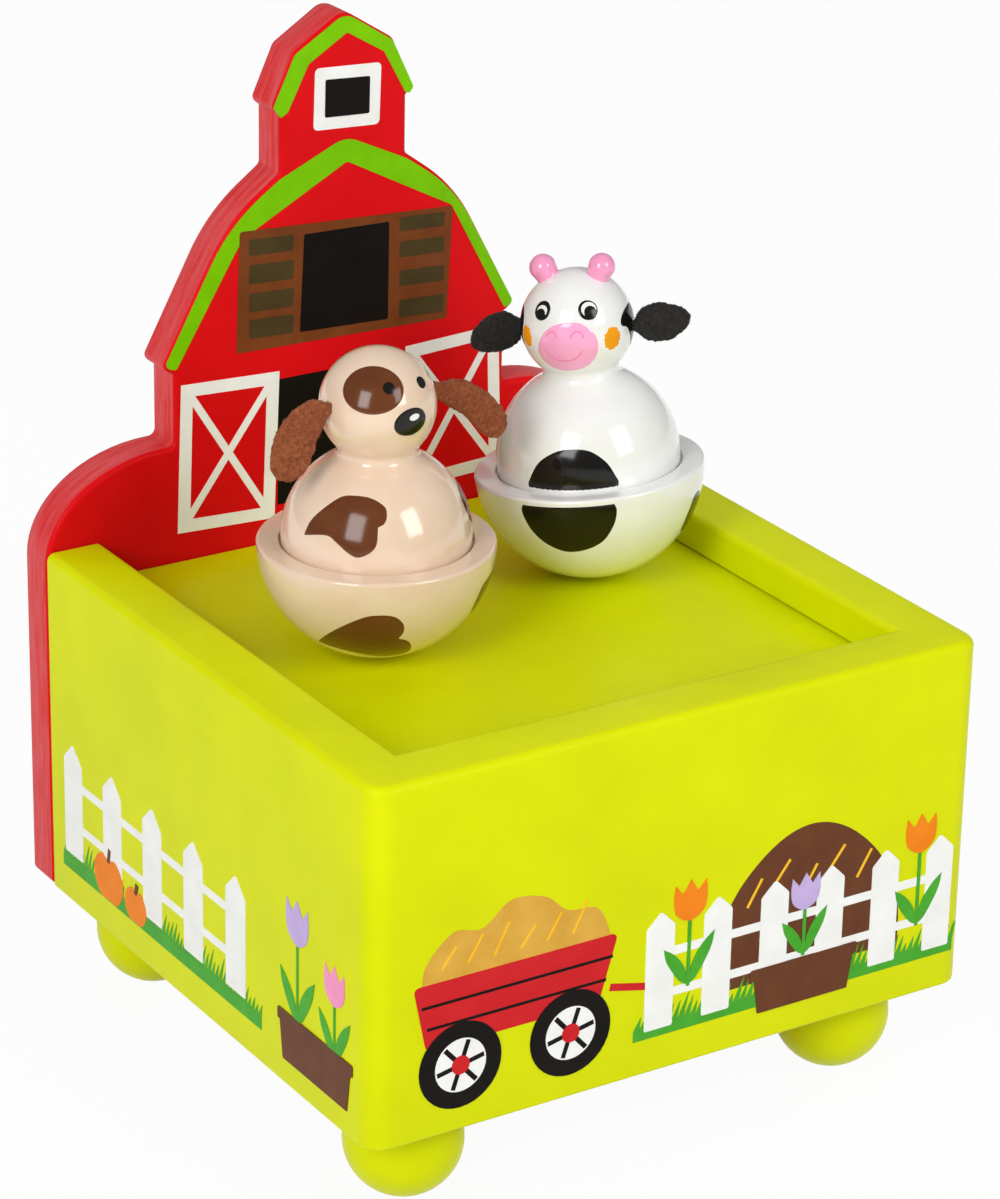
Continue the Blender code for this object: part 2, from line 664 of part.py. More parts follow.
def bottom_board():
    reach = INNER_HALF + REBATE_DEPTH - SEAM
    mesh = block(
        "bottom_board",
        (-reach, INNER_FRONT - REBATE_DEPTH + SEAM, BOX_FLOOR),
        (reach, BOARD_FRONT - SEAM, BOTTOM_TOP),
    )
    piece = place("bottom_board", mesh, "bare_plywood")
    low, high = BOX_FLOOR - OVERRUN, BOTTOM_TOP + OVERRUN
    places = [(FOOT_SCREW_RADIUS, x, y) for _, x, y in foot_places()]
    places += [(BOARD_SCREW_RADIUS, x, y) for _, _, x, y in board_screw_places()]
    places += [(METAL_SCREW_RADIUS, TURN_AXIS_SIDE + x, y) for _, x, y in movement_screw_places()]
    bores = [hole(radius + SEAM, low, high, x, y, SCREW_STEPS) for radius, x, y in places]
    bores.append(hole(KEY_HOLE_RADIUS, low, high, TURN_AXIS_SIDE, AXIS_Y))
    return boolean(piece, "DIFFERENCE", [merged("cutter", bores)])


def ball_feet():
    """Turned balls with a flat top against the bottom board and a bore for their screw."""
    top = BOX_FLOOR - SEAM
    centre = FOOT_RADIUS
    opening = acos((top - centre) / FOOT_RADIUS)
    flat = pi - asin(FOOT_FLAT / FOOT_RADIUS)
    bore = FOOT_SCREW_RADIUS + SEAM
    depth = FOOT_SCREW_LENGTH - BOTTOM_THICKNESS + SEAM
    profile = [(0, centre + FOOT_RADIUS * cos(flat))]
    for i in range(FOOT_ROWS + 1):
        polar = flat + (opening - flat) * i / FOOT_ROWS
        profile.append((FOOT_RADIUS * sin(polar), centre + FOOT_RADIUS * cos(polar)))
    profile += [(bore, top), (bore, top - depth), (0, top - depth)]
    sink = profile[0][1]
    profile = [(r, z - sink if i < 2 else z) for i, (r, z) in enumerate(profile)]
    for name, x, y in foot_places():
        place(f"foot_{name}", turned(f"foot_{name}", profile, FOOT_STEPS), "lime_lacquer", (x, y, 0))
        screw(
            f"foot_screw_{name}", FOOT_SCREW_RADIUS, FOOT_SCREW_LENGTH, FOOT_SCREW_HEAD,
            "plated_steel", (x, y, BOTTOM_TOP + SEAM),
        )


def board_screws():
    for side, end, x, y in board_screw_places():
        screw(
            f"bottom_screw_{side}_{end}", BOARD_SCREW_RADIUS, BOARD_SCREW_LENGTH, BOARD_SCREW_HEAD,
            "plated_steel", (x, y, BOX_FLOOR - SEAM), upward=True,
        )


def barn_board():
    """The barn shaped board: shoulders, barn wall, bent roof and cupola, cut from one sheet."""
    eave = BARN_HALF + EAVE_OUT
    cupola_eave = NECK_HALF + CUPOLA_EAVE_OUT
    slopes = (eave, EAVE_HEIGHT), (KNEE_HALF, KNEE_HEIGHT), (NECK_HALF, NECK_FOOT)
    knee_round = corner_radius(*slopes, KNEE_ROUND_SHARE)
    shoulder = []
    for i in range(SHOULDER_STEPS + 1):
        turn = pi / 2 * i / SHOULDER_STEPS
        x = HALF_WIDTH - SHOULDER_WIDTH * (1 - cos(turn))
        shoulder.append((x, BARN_WALL_FOOT - SHOULDER_RISE * (1 - sin(turn)), 0, 0))
    right = [
        (HALF_WIDTH, 0, SOFT_CORNER, SHORT_ARC_STEPS),
        *shoulder,
        (BARN_HALF, BARN_WALL_FOOT, SOFT_CORNER, SHORT_ARC_STEPS),
        (BARN_HALF, EAVE_HEIGHT - SOFT_CORNER, 0, 0),
        (eave, EAVE_HEIGHT, SOFT_CORNER, PLAIN_ARC_STEPS),
        (KNEE_HALF, KNEE_HEIGHT, knee_round, WIDE_ARC_STEPS),
        (NECK_HALF, NECK_FOOT, SOFT_CORNER, SHORT_ARC_STEPS),
        (NECK_HALF, CUPOLA_EAVE_HEIGHT - SOFT_CORNER, 0, 0),
        (cupola_eave, CUPOLA_EAVE_HEIGHT, SOFT_CORNER, PLAIN_ARC_STEPS),
        (CUPOLA_KNEE_HALF, CUPOLA_KNEE_HEIGHT, CUPOLA_KNEE_ROUND, PLAIN_ARC_STEPS),
    ]
    left = [(-x, z, radius, steps) for x, z, radius, steps in reversed(right)]
    outline = rounded([*right, (0, BOARD_HEIGHT, APEX_ROUND, WIDE_ARC_STEPS), *left])
    outline = [(x, z + BOX_FLOOR) for x, z in outline]
    mesh = prism("barn_board", outline, BOARD_FRONT, BACK, up="Y")

    def rim(a, b):
        return abs(a.y - b.y) < TOUCH

    soften(mesh, rim, BOARD_EDGE, 1)
    return place("barn_board", mesh, "red_lacquer")


# Movement

def gear_outline(teeth, module, phase=0.0):
    """Straight-sided teeth on a pitch circle. A tooth is centred at the phase angle."""
    pitch_radius = module * teeth / 2
    step = 2 * pi / teeth
    root = pitch_radius - module * DEDENDUM_SHARE
    tip = pitch_radius + module * ADDENDUM_SHARE
    foot = step * (2 * TOOTH_SHARE - TIP_SHARE) / 2
    crest = step * TIP_SHARE / 2
    outline = []
    for tooth in range(teeth):
        middle = phase + tooth * step
        for radius, half in ((root, -foot), (tip, -crest), (tip, crest), (root, foot)):
            outline.append((radius * cos(middle + half), radius * sin(middle + half)))
    return outline


def gear(name, teeth, module, face, bore, phase=0.0):
    """A gear along +X from its origin, with a bore for its arbor."""
    outline = gear_outline(teeth, module, phase)
    mesh = prism(name, outline, 0, face, up="X")
    return mesh, cross_hole(bore, -OVERRUN, face + OVERRUN, 0, 0, SCREW_STEPS)


def bed(frame):
    """Cast bed with the comb block and the three bearing posts."""
    corners = [
        (BED_LEFT, BED_FRONT, BED_CORNER, PLAIN_ARC_STEPS),
        (BED_RIGHT, BED_FRONT, BED_CORNER, PLAIN_ARC_STEPS),
        (BED_RIGHT, BED_BACK, BED_CORNER, PLAIN_ARC_STEPS),
        (BED_LEFT, BED_BACK, BED_CORNER, PLAIN_ARC_STEPS),
    ]
    mesh = prism("movement_bed", rounded(corners), BED_UNDER, BED_TOP)
    piece = place("movement_bed", mesh, "zinc_casting", parent=frame)
    sunk = BED_TOP - BED_THICKNESS / 2
    comb_block = block(
        "join",
        (CYLINDER_START - COMB_BORDER, BED_FRONT + SEAM, sunk),
        (CYLINDER_STOP + COMB_BORDER, COMB_BODY_Y - SEAM, COMB_Z - SEAM),
    )
    posts = [
        block("join", (x, y - POST_HALF, sunk), (x + POST_THICKNESS, y + POST_HALF, z + POST_HALF))
        for x, y, z in (
            (POST_A, AXIS_Y, CYLINDER_Z),
            (POST_B, AXIS_Y, CYLINDER_Z),
            (POST_C, WHEEL_Y, WHEEL_Z),
        )
    ]
    boolean(piece, "UNION", [merged("join", [comb_block, *posts])])
    low, high = BED_UNDER - OVERRUN, BED_TOP + OVERRUN
    cuts = [hole(ARBOR_RADIUS + RUNNING, low, high, 0, AXIS_Y)]
    grip = COMB_Z - METAL_SCREW_GRIP - SEAM
    places = [(low, high, x, y) for _, x, y in movement_screw_places()]
    places += [(grip, COMB_Z, x, y) for _, x, y in comb_screw_places()]
    places.append((low, high, *bracket_screw_place()))
    for foot, head, x, y in places:
        cuts.append(hole(METAL_SCREW_RADIUS + SEAM, foot, head, x, y, SCREW_STEPS))
    span = (POST_A - OVERRUN, POST_B + POST_THICKNESS + OVERRUN)
    cuts.append(cross_hole(CYLINDER_ARBOR_RADIUS + RUNNING, *span, AXIS_Y, CYLINDER_Z))
    span = (POST_C - OVERRUN, POST_C + POST_THICKNESS + OVERRUN)
    cuts.append(cross_hole(WHEEL_ARBOR_RADIUS + RUNNING, *span, WHEEL_Y, WHEEL_Z))
    return boolean(piece, "DIFFERENCE", [merged("cutter", cuts)])


def movement_screws(frame):
    length = BOTTOM_THICKNESS + 2 * SEAM + BED_THICKNESS
    for name, x, y in movement_screw_places():
        screw(
            f"movement_screw_{name}", METAL_SCREW_RADIUS, length, METAL_SCREW_HEAD,
            "plated_steel", (x, y, BOX_FLOOR - SEAM), upward=True, parent=frame,
        )


def comb_screw_places():
    y = COMB_BODY_Y - COMB_BODY / 2
    inset = CYLINDER_LENGTH * COMB_SCREW_INSET_SHARE
    return [
        ("low", CYLINDER_START + inset, y),
        ("high", CYLINDER_STOP - inset, y),
    ]


def comb(frame):
    """Steel comb: one slit between each two teeth, deepest at the bass end, tips in one line."""
    low, high = CYLINDER_START - COMB_BORDER, CYLINDER_STOP + COMB_BORDER
    first = CYLINDER_START + CYLINDER_END
    last = first + NOTES * NOTE_PITCH
    slit = NOTE_PITCH * COMB_SLIT_SHARE
    outline = [(low, COMB_BACK_Y), (high, COMB_BACK_Y), (high, COMB_BODY_Y)]
    outline += [(last, COMB_BODY_Y), (last, COMB_TIP_Y)]
    for note in range(NOTES - 1, 0, -1):
        growth = (COMB_LONGEST_TOOTH - COMB_SHORTEST_TOOTH) * (1 - note / NOTES)
        root = COMB_TIP_Y - COMB_SHORTEST_TOOTH - growth
        near = first + note * NOTE_PITCH + slit / 2
        far = near - slit
        outline += [(near, COMB_TIP_Y), (near, root), (far, root), (far, COMB_TIP_Y)]
    outline += [(first, COMB_TIP_Y), (first, COMB_BODY_Y), (low, COMB_BODY_Y)]
    mesh = prism("comb", outline, COMB_Z, COMB_Z + COMB_THICKNESS)
    piece = place("comb", mesh, "spring_steel", parent=frame)
    under, over = COMB_Z - OVERRUN, COMB_Z + COMB_THICKNESS + OVERRUN
    bores = [
        hole(METAL_SCREW_RADIUS + SEAM, under, over, x, y, SCREW_STEPS)
        for _, x, y in comb_screw_places()
    ]
    boolean(piece, "DIFFERENCE", [merged("cutter", bores)])
    for name, x, y in comb_screw_places():
        screw(
            f"comb_screw_{name}", METAL_SCREW_RADIUS, METAL_SCREW_GRIP + COMB_THICKNESS,
            METAL_SCREW_HEAD, "plated_steel", (x, y, COMB_Z + COMB_THICKNESS + SEAM), parent=frame,
        )


def winding_key_and_arbor(frame):
    """The arbor runs up from the key through the bottom board and the bed into the barrel."""
    axis = axis_empty("key_axis", (0, AXIS_Y, 0), parent=frame)
    collar = BED_TOP + (BARREL_RISE - COLLAR_HEIGHT) / 2
    hub = BARREL_UNDER + BARREL_WALL + SEAM
    profile = [
        (0, KEY_TOP - KEY_HUB_LENGTH + KEY_SKIN + SEAM),
        (ARBOR_RADIUS, KEY_TOP - KEY_HUB_LENGTH + KEY_SKIN + SEAM),
        (ARBOR_RADIUS, collar),
        (COLLAR_RADIUS, collar),
        (COLLAR_RADIUS, collar + COLLAR_HEIGHT),
        (ARBOR_RADIUS, collar + COLLAR_HEIGHT),
        (ARBOR_RADIUS, hub),
        (ARBOR_HUB_RADIUS, hub),
        (ARBOR_HUB_RADIUS, BARREL_TOP - SEAM),
        (0, BARREL_TOP - SEAM),
    ]
    place("winding_arbor", turned("winding_arbor", profile, SMALL_STEPS), "spring_steel", parent=axis)
    under = KEY_TOP - KEY_HUB_LENGTH
    bore = ARBOR_RADIUS + SEAM
    profile = [(0, under), (KEY_HUB_RADIUS, under), (KEY_HUB_RADIUS, KEY_TOP), (0, KEY_TOP)]
    key = place("winding_key", turned("winding_key", profile, SMALL_STEPS), "plated_steel", parent=axis)
    half, end = KEY_WING_SPAN / 2, KEY_WING_HEIGHT / 2
    middle = under - end + KEY_SKIN / 2
    corners = [
        (-half, middle - end, end - SEAM, WIDE_ARC_STEPS),
        (half, middle - end, end - SEAM, WIDE_ARC_STEPS),
        (half, middle + end, end - SEAM, WIDE_ARC_STEPS),
        (-half, middle + end, end - SEAM, WIDE_ARC_STEPS),
    ]
    wing = prism("join", rounded(corners), -KEY_WING_THICKNESS / 2, KEY_WING_THICKNESS / 2, up="Y")
    boolean(key, "UNION", [wing])
    bores = rod("cutter", bore, under + KEY_SKIN, KEY_TOP + OVERRUN)
    return boolean(key, "DIFFERENCE", [bores])


def wrap_spring(frame):
    """One-way wrap spring, closely wound round the collar. Its turns touch, so it is one sleeve."""
    bore = COLLAR_RADIUS + SEAM
    low = BED_TOP + (BARREL_RISE - COLLAR_HEIGHT) / 2
    pitch = COLLAR_HEIGHT / WRAP_TURNS
    profile = [(bore, low)]
    for turn in range(WRAP_TURNS):
        foot = low + turn * pitch
        profile += [(bore + WRAP_WIRE, foot), (bore + 2 * WRAP_WIRE, foot + pitch / 2)]
    profile += [(bore + WRAP_WIRE, low + COLLAR_HEIGHT), (bore, low + COLLAR_HEIGHT)]
    mesh = turned("wrap_spring", profile, SMALL_STEPS, ring=True)
    return place("wrap_spring", mesh, "spring_steel", (0, AXIS_Y, 0), parent=frame)


def mainspring():
    """Flat spring wound from the arbor hub to the wall of the barrel."""
    inner = ARBOR_HUB_RADIUS + SEAM + SPRING_THICKNESS / 2
    outer = BARREL_RADIUS - BARREL_WALL - SEAM - SPRING_THICKNESS / 2
    low = BARREL_UNDER + BARREL_WALL + SEAM
    high = BARREL_TOP - SEAM
    count = SPRING_STEPS * SPRING_TURNS
    inside, outside = [], []
    for i in range(count + 1):
        angle = 2 * pi * i / SPRING_STEPS
        radius = inner + (outer - inner) * i / count
        for side, half in ((inside, -SPRING_THICKNESS / 2), (outside, SPRING_THICKNESS / 2)):
            side.append(((radius + half) * cos(angle), (radius + half) * sin(angle)))
    points = [(x, y, z) for z in (low, high) for line in (inside, outside) for x, y in line]
    row = count + 1
    faces = []
    for i in range(count):
        j = i + 1
        faces.append((row + i, row + j, 3 * row + j, 3 * row + i))
        faces.append((j, i, 2 * row + i, 2 * row + j))
        faces.append((i, j, row + j, row + i))
        faces.append((2 * row + j, 2 * row + i, 3 * row + i, 3 * row + j))
    faces.append((0, row, 3 * row, 2 * row))
    faces.append((row + count, count, 2 * row + count, 3 * row + count))
    return mesh_from("mainspring", points, faces)


def crown_teeth():
    """Wedge teeth standing on the lid, one body each, for one join."""
    step = 2 * pi / CROWN_TEETH
    foot = step * (2 * TOOTH_SHARE - TIP_SHARE) / 2
    tip = step * TIP_SHARE / 2
    sunk = LID_TOP - TOOTH_SINK
    inner, outer = CROWN_INNER, CROWN_OUTER - SEAM / 2
    teeth = []
    for tooth in range(CROWN_TEETH):
        middle = tooth * step + step / 2
        points = [
            (radius * cos(middle + half), radius * sin(middle + half), z)
            for z, width in ((sunk, foot), (CROWN_TIP, tip))
            for radius, half in ((inner, -width), (outer, -width), (outer, width), (inner, width))
        ]
        faces = [(3, 2, 1, 0), (4, 5, 6, 7), (0, 1, 5, 4), (1, 2, 6, 5), (2, 3, 7, 6), (3, 0, 4, 7)]
        teeth.append(mesh_from("tooth", points, faces))
    return merged("join", teeth)


def barrel_and_turntable(frame):
    """All that turns with the barrel: drum, spring, crown wheel, output shaft and turntable."""
    axis = axis_empty("turntable_axis", (0, AXIS_Y, 0), parent=frame)
    floor = BARREL_UNDER + BARREL_WALL
    inner = BARREL_RADIUS - BARREL_WALL
    bore = ARBOR_RADIUS + RUNNING
    profile = [
        (bore, BARREL_UNDER),
        (BARREL_RADIUS, BARREL_UNDER),
        (BARREL_RADIUS, BARREL_TOP),
        (inner, BARREL_TOP),
        (inner, floor),
        (bore, floor),
    ]
    place("spring_barrel", turned("spring_barrel", profile, BALL_STEPS, ring=True), "brass", parent=axis)
    place("mainspring", mainspring(), "spring_steel", parent=axis)
    profile = [
        (0, LID_UNDER),
        (BARREL_RADIUS, LID_UNDER),
        (BARREL_RADIUS, LID_TOP),
        (SHAFT_RADIUS, LID_TOP),
        (SHAFT_RADIUS, TURNTABLE_TOP),
        (0, TURNTABLE_TOP),
    ]
    crown = place("crown_wheel", turned("crown_wheel", profile, CROWN_TEETH), "brass", parent=axis)
    boolean(crown, "UNION", [crown_teeth()])
    bore = SHAFT_RADIUS + SEAM
    hub = TURNTABLE_UNDER - TURNTABLE_HUB_LENGTH
    profile = [
        (bore, hub),
        (TURNTABLE_HUB_RADIUS, hub),
        (TURNTABLE_HUB_RADIUS, TURNTABLE_UNDER),
        (TURNTABLE_RADIUS, TURNTABLE_UNDER),
        (TURNTABLE_RADIUS, TURNTABLE_TOP),
        (bore, TURNTABLE_TOP),
    ]
    mesh = turned("turntable", profile, BALL_STEPS, ring=True)
    disc = place("turntable", mesh, "bare_plywood", parent=axis)
    seat = TURNTABLE_TOP - DRIVE_MAGNET_SEAT
    pockets = []
    for animal, angle in (("dog", DOG_ORBIT_ANGLE), ("cow", COW_ORBIT_ANGLE)):
        x, y = ORBIT * cos(angle), ORBIT * sin(angle)
        pockets.append(hole(DRIVE_MAGNET_RADIUS + SEAM, seat - SEAM, TURNTABLE_TOP + OVERRUN, x, y))
        magnet = rod(f"{animal}_drive_magnet", DRIVE_MAGNET_RADIUS, seat, DRIVE_MAGNET_TOP)
        place(f"{animal}_drive_magnet", magnet, "magnet_nickel", (x, y, 0), parent=axis)
    return boolean(disc, "DIFFERENCE", [merged("cutter", pockets)])


def pinned_cylinder(frame):
    """The cylinder with its pins, its arbor, the crown pinion and the gear for the governor."""
    axis = axis_empty("cylinder_axis", (0, AXIS_Y, CYLINDER_Z), parent=frame)
    across = Matrix.Rotation(pi / 2, 4, "Y")
    bore = CYLINDER_ARBOR_RADIUS + SEAM
    profile = [
        (bore, CYLINDER_START),
        (CYLINDER_RADIUS, CYLINDER_START),
        (CYLINDER_RADIUS, CYLINDER_STOP),
        (bore, CYLINDER_STOP),
    ]
    mesh = turned("pinned_cylinder", profile, BALL_STEPS, ring=True)
    mesh.transform(across)
    piece = place("pinned_cylinder", mesh, "brass", parent=axis)
    pins = []
    sunk = CYLINDER_RADIUS - PIN_HEIGHT / 2
    sweep = 2 * pi * (PIN_SIDES - 1) / PIN_SIDES
    for note in range(NOTES):
        x = CYLINDER_START + CYLINDER_END + (note + 1 / 2) * NOTE_PITCH
        for beat in range(PINS_PER_NOTE):
            angle = PIN_TURN * (note * PINS_PER_NOTE + beat) + 2 * pi * beat / PINS_PER_NOTE
            pin = prism("pin", arc((0, 0), PIN_RADIUS, 0, sweep, PIN_SIDES - 1), sunk, PIN_REACH)
            pin.transform(Matrix.Rotation(angle, 4, "X") @ Matrix.Translation((x, 0, 0)))
            pins.append(pin)
    boolean(piece, "UNION", [merged("join", pins)])
    arbor_low = CROWN_INNER - AXIAL_PLAY
    arbor_high = POST_B + POST_THICKNESS + AXIAL_PLAY
    mesh = rod("cylinder_arbor", CYLINDER_ARBOR_RADIUS, arbor_low, arbor_high, SCREW_STEPS)
    mesh.transform(across)
    place("cylinder_arbor", mesh, "spring_steel", parent=axis)
    face = CROWN_FACE - AXIAL_PLAY
    mesh, cut = gear("crown_pinion", CROWN_PINION_TEETH, CROWN_MODULE, face, bore, -pi / 2)
    for shape in (mesh, cut):
        shape.transform(Matrix.Translation((CROWN_INNER + AXIAL_PLAY / 2, 0, 0)))
    pinion = place("crown_pinion", mesh, "brass", parent=axis)
    boolean(pinion, "DIFFERENCE", [cut])
    facing = -WHEEL_DROP_ANGLE
    mesh, cut = gear("cylinder_gear", CYLINDER_GEAR_TEETH, TRAIN_MODULE, GEAR_FACE, bore, facing)
    for shape in (mesh, cut):
        shape.transform(Matrix.Translation((TRAIN_START, 0, 0)))
    wheel = place("cylinder_gear", mesh, "brass", parent=axis)
    return boolean(wheel, "DIFFERENCE", [cut])


def governor_wheel(frame):
    """Arbor with a pinion driven by the cylinder and a worm wheel that spins the fan's worm."""
    axis = axis_empty("governor_wheel_axis", (0, WHEEL_Y, WHEEL_Z), parent=frame)
    bore = WHEEL_ARBOR_RADIUS + SEAM
    across = Matrix.Rotation(pi / 2, 4, "Y")
    low, high = POST_C - AXIAL_PLAY, BRACKET_OUT
    mesh = rod("governor_arbor", WHEEL_ARBOR_RADIUS, low, high, SCREW_STEPS)
    mesh.transform(across)
    place("governor_arbor", mesh, "spring_steel", parent=axis)
    # the gap between two pinion teeth faces the gear tooth on the line of centres
    facing = pi - WHEEL_DROP_ANGLE + pi / WHEEL_PINION_TEETH
    mesh, cut = gear("governor_pinion", WHEEL_PINION_TEETH, TRAIN_MODULE, GEAR_FACE, bore, facing)
    for shape in (mesh, cut):
        shape.transform(Matrix.Translation((TRAIN_START, 0, 0)))
    pinion = place("governor_pinion", mesh, "brass", parent=axis)
    boolean(pinion, "DIFFERENCE", [cut])
    mesh, cut = gear("worm_wheel", WORM_WHEEL_TEETH, WORM_MODULE, GEAR_FACE, bore)
    for shape in (mesh, cut):
        shape.transform(Matrix.Translation((WORM_WHEEL_START, 0, 0)))
    wheel = place("worm_wheel", mesh, "brass", parent=axis)
    return boolean(wheel, "DIFFERENCE", [cut])


def bracket_screw_place():
    return BRACKET_START + METAL_SCREW_HEAD, BRACKET_BACK - METAL_SCREW_HEAD - SEAM


def governor_bracket(frame):
    """A strip bent into a U that holds the fan's worm top and bottom and one end of the arbor."""
    inner_low, inner_high = BRACKET_UNDER + BRACKET_THICKNESS, BRACKET_TOP
    outer_high = BRACKET_TOP + BRACKET_THICKNESS
    outline = [
        (BRACKET_START, BRACKET_UNDER),
        (BRACKET_OUT, BRACKET_UNDER),
        (BRACKET_OUT, outer_high),
        (BRACKET_START, outer_high),
        (BRACKET_START, inner_high),
        (BRACKET_X, inner_high),
        (BRACKET_X, inner_low),
        (BRACKET_START, inner_low),
    ]
    mesh = prism("governor_bracket", outline, BRACKET_FRONT, BRACKET_BACK, up="Y")
    piece = place("governor_bracket", mesh, "brass", parent=frame)
    x, y = bracket_screw_place()
    foot = (BRACKET_UNDER - OVERRUN, inner_low + OVERRUN)
    head = (inner_high - OVERRUN, outer_high + OVERRUN)
    pivot, across = PIVOT_RADIUS + RUNNING, (BRACKET_X - OVERRUN, BRACKET_OUT + OVERRUN)
    cuts = [
        hole(pivot, *foot, WORM_X, WORM_Y, SCREW_STEPS),
        hole(pivot, *head, WORM_X, WORM_Y, SCREW_STEPS),
        hole(METAL_SCREW_RADIUS + SEAM, *foot, x, y, SCREW_STEPS),
        cross_hole(WHEEL_ARBOR_RADIUS + RUNNING, *across, WHEEL_Y, WHEEL_Z),
    ]
    boolean(piece, "DIFFERENCE", [merged("cutter", cuts)])
    grip = BRACKET_THICKNESS + 2 * SEAM + BRACKET_SCREW_GRIP
    return screw(
        "bracket_screw", METAL_SCREW_RADIUS, grip, METAL_SCREW_HEAD,
        "plated_steel", (x, y, inner_low + SEAM), parent=frame,
    )


def worm_radius(height, angle):
    """Radius of the worm at a height and an angle: a straight-sided thread of one start. A groove
    faces the worm wheel at the wheel's own height."""
    along = ((height - WHEEL_Z) / WORM_LEAD - (angle + pi / 2) / (2 * pi)) % 1
    rise = 2 - THREAD_SLOPE * abs(along - 1 / 2)
    return WORM_ROOT + (WORM_CREST - WORM_ROOT) * max(0, min(1, rise))


def worm_mesh(foot, head):
    """The worm between its two pivots, ring by ring from the lower pivot up."""
    half = WORM_LEAD * WORM_THREADS / 2
    rows = WORM_THREADS * WORM_ROWS
    angles = [2 * pi * step / WORM_STEPS for step in range(WORM_STEPS)]
    plain = [(PIVOT_RADIUS, foot - PIVOT_LENGTH), (PIVOT_RADIUS, foot), (WORM_SHAFT_RADIUS, foot)]
    plain.append((WORM_SHAFT_RADIUS, WHEEL_Z - half))
    rings = [([radius] * WORM_STEPS, height) for radius, height in plain]
    for i in range(1, rows):
        height = WHEEL_Z - half + 2 * half * i / rows
        rings.append(([worm_radius(height, angle) for angle in angles], height))
    plain = [(WORM_SHAFT_RADIUS, WHEEL_Z + half), (WORM_SHAFT_RADIUS, head), (PIVOT_RADIUS, head)]
    plain.append((PIVOT_RADIUS, head + PIVOT_LENGTH))
    rings += [([radius] * WORM_STEPS, height) for radius, height in plain]
    points = [(0, 0, foot - PIVOT_LENGTH)]
    for radii, height in rings:
        points += [(r * cos(a), r * sin(a), height) for r, a in zip(radii, angles)]
    points.append((0, 0, head + PIVOT_LENGTH))
    faces = []
    last = len(points) - 1
    for step in range(WORM_STEPS):
        following = (step + 1) % WORM_STEPS
        faces.append((0, 1 + following, 1 + step))
        faces.append((last, last - WORM_STEPS + step, last - WORM_STEPS + following))
        for low in range(1, last - WORM_STEPS, WORM_STEPS):
            high = low + WORM_STEPS
            faces.append((low + step, low + following, high + following, high + step))
    return smooth(mesh_from("governor_worm", points, faces))


def governor_worm_and_fan(frame):
    """The upright worm and, above it, the fan that brakes the tune."""
    axis = axis_empty("fan_axis", (WORM_X, WORM_Y, 0), parent=frame)
    foot, head = BRACKET_UNDER + BRACKET_THICKNESS + SEAM, BRACKET_TOP - SEAM
    place("governor_worm", worm_mesh(foot, head), "spring_steel", parent=axis)
    fan_top = head - SEAM
    fan_low = fan_top - FAN_HEIGHT
    bore = WORM_SHAFT_RADIUS + SEAM
    profile = [(bore, fan_low), (FAN_HUB_RADIUS, fan_low), (FAN_HUB_RADIUS, fan_top), (bore, fan_top)]
    mesh = turned("air_fan", profile, FAN_STEPS, ring=True)
    fan = place("air_fan", mesh, "fan_plastic", parent=axis)
    middle = (bore + FAN_HUB_RADIUS) / 2
    half = FAN_THICKNESS / 2
    wings = [
        block("join", (near, -half, fan_low), (far, half, fan_top))
        for near, far in ((middle, FAN_RADIUS), (-FAN_RADIUS, -middle))
    ]
    return boolean(fan, "UNION", [merged("join", wings)])


# Animals

def neck_level(head_height):
    """Height over the bowl's rim where the ball of the head is cut flat on the neck."""
    return head_height - sqrt(HEAD_RADIUS**2 - NECK_RADIUS**2)


def bowl_mesh(name):
    """Turned bowl, drilled from above for the base magnet and the stem of the dome."""
    bore = max(STEM_RADIUS, BASE_MAGNET_RADIUS) + SEAM
    floor = -BOWL_RADIUS + BASE_SKIN + SEAM
    recess = DOME_RADIUS + SEAM
    profile = [(0, -BOWL_RADIUS)]
    last = pi / 2 - BOWL_RIM_ROUND / BOWL_RADIUS
    for i in range(1, BALL_ROWS + 1):
        turn = last * i / BALL_ROWS
        profile.append((BOWL_RADIUS * sin(turn), -BOWL_RADIUS * cos(turn)))
    profile += [
        (BOWL_RADIUS - BOWL_RIM_ROUND, 0),
        (recess, 0),
        (recess, -LEDGE_RECESS),
        (bore, -LEDGE_RECESS),
        (bore, floor),
        (0, floor),
    ]
    return turned(name, profile, BALL_STEPS)


def dome_mesh(name, head_height):
    """Turned dome with a stem below and a seat and bore for the head above. It is a ball that
    flares up to the neck: a wide soft swell, and a short steep cove at the top."""
    neck = neck_level(head_height) - SEAM / 2
    foot = SEAM - LEDGE_RECESS
    stop = atan2(neck, NECK_RADIUS)
    flare = sqrt(neck**2 + NECK_RADIUS**2) - DOME_RADIUS
    profile = [(0, foot - STEM_LENGTH), (STEM_RADIUS, foot - STEM_LENGTH)]
    profile += [(STEM_RADIUS, foot), (DOME_RADIUS, foot)]
    for i in range(DOME_ROWS + 1):
        turn = stop * i / DOME_ROWS
        travel = max(0, (turn - NECK_FLARE_START) / (stop - NECK_FLARE_START))
        shape = NECK_SWELL_SHARE * travel**1.5 + (1 - NECK_SWELL_SHARE) * travel**6
        reach = DOME_RADIUS + flare * shape
        profile.append((reach * cos(turn), reach * sin(turn)))
    bore = DOWEL_RADIUS + SEAM
    profile += [(bore, neck), (bore, neck - DOWEL_LENGTH - SEAM), (0, neck - DOWEL_LENGTH - SEAM)]
    return turned(name, profile, BALL_STEPS)


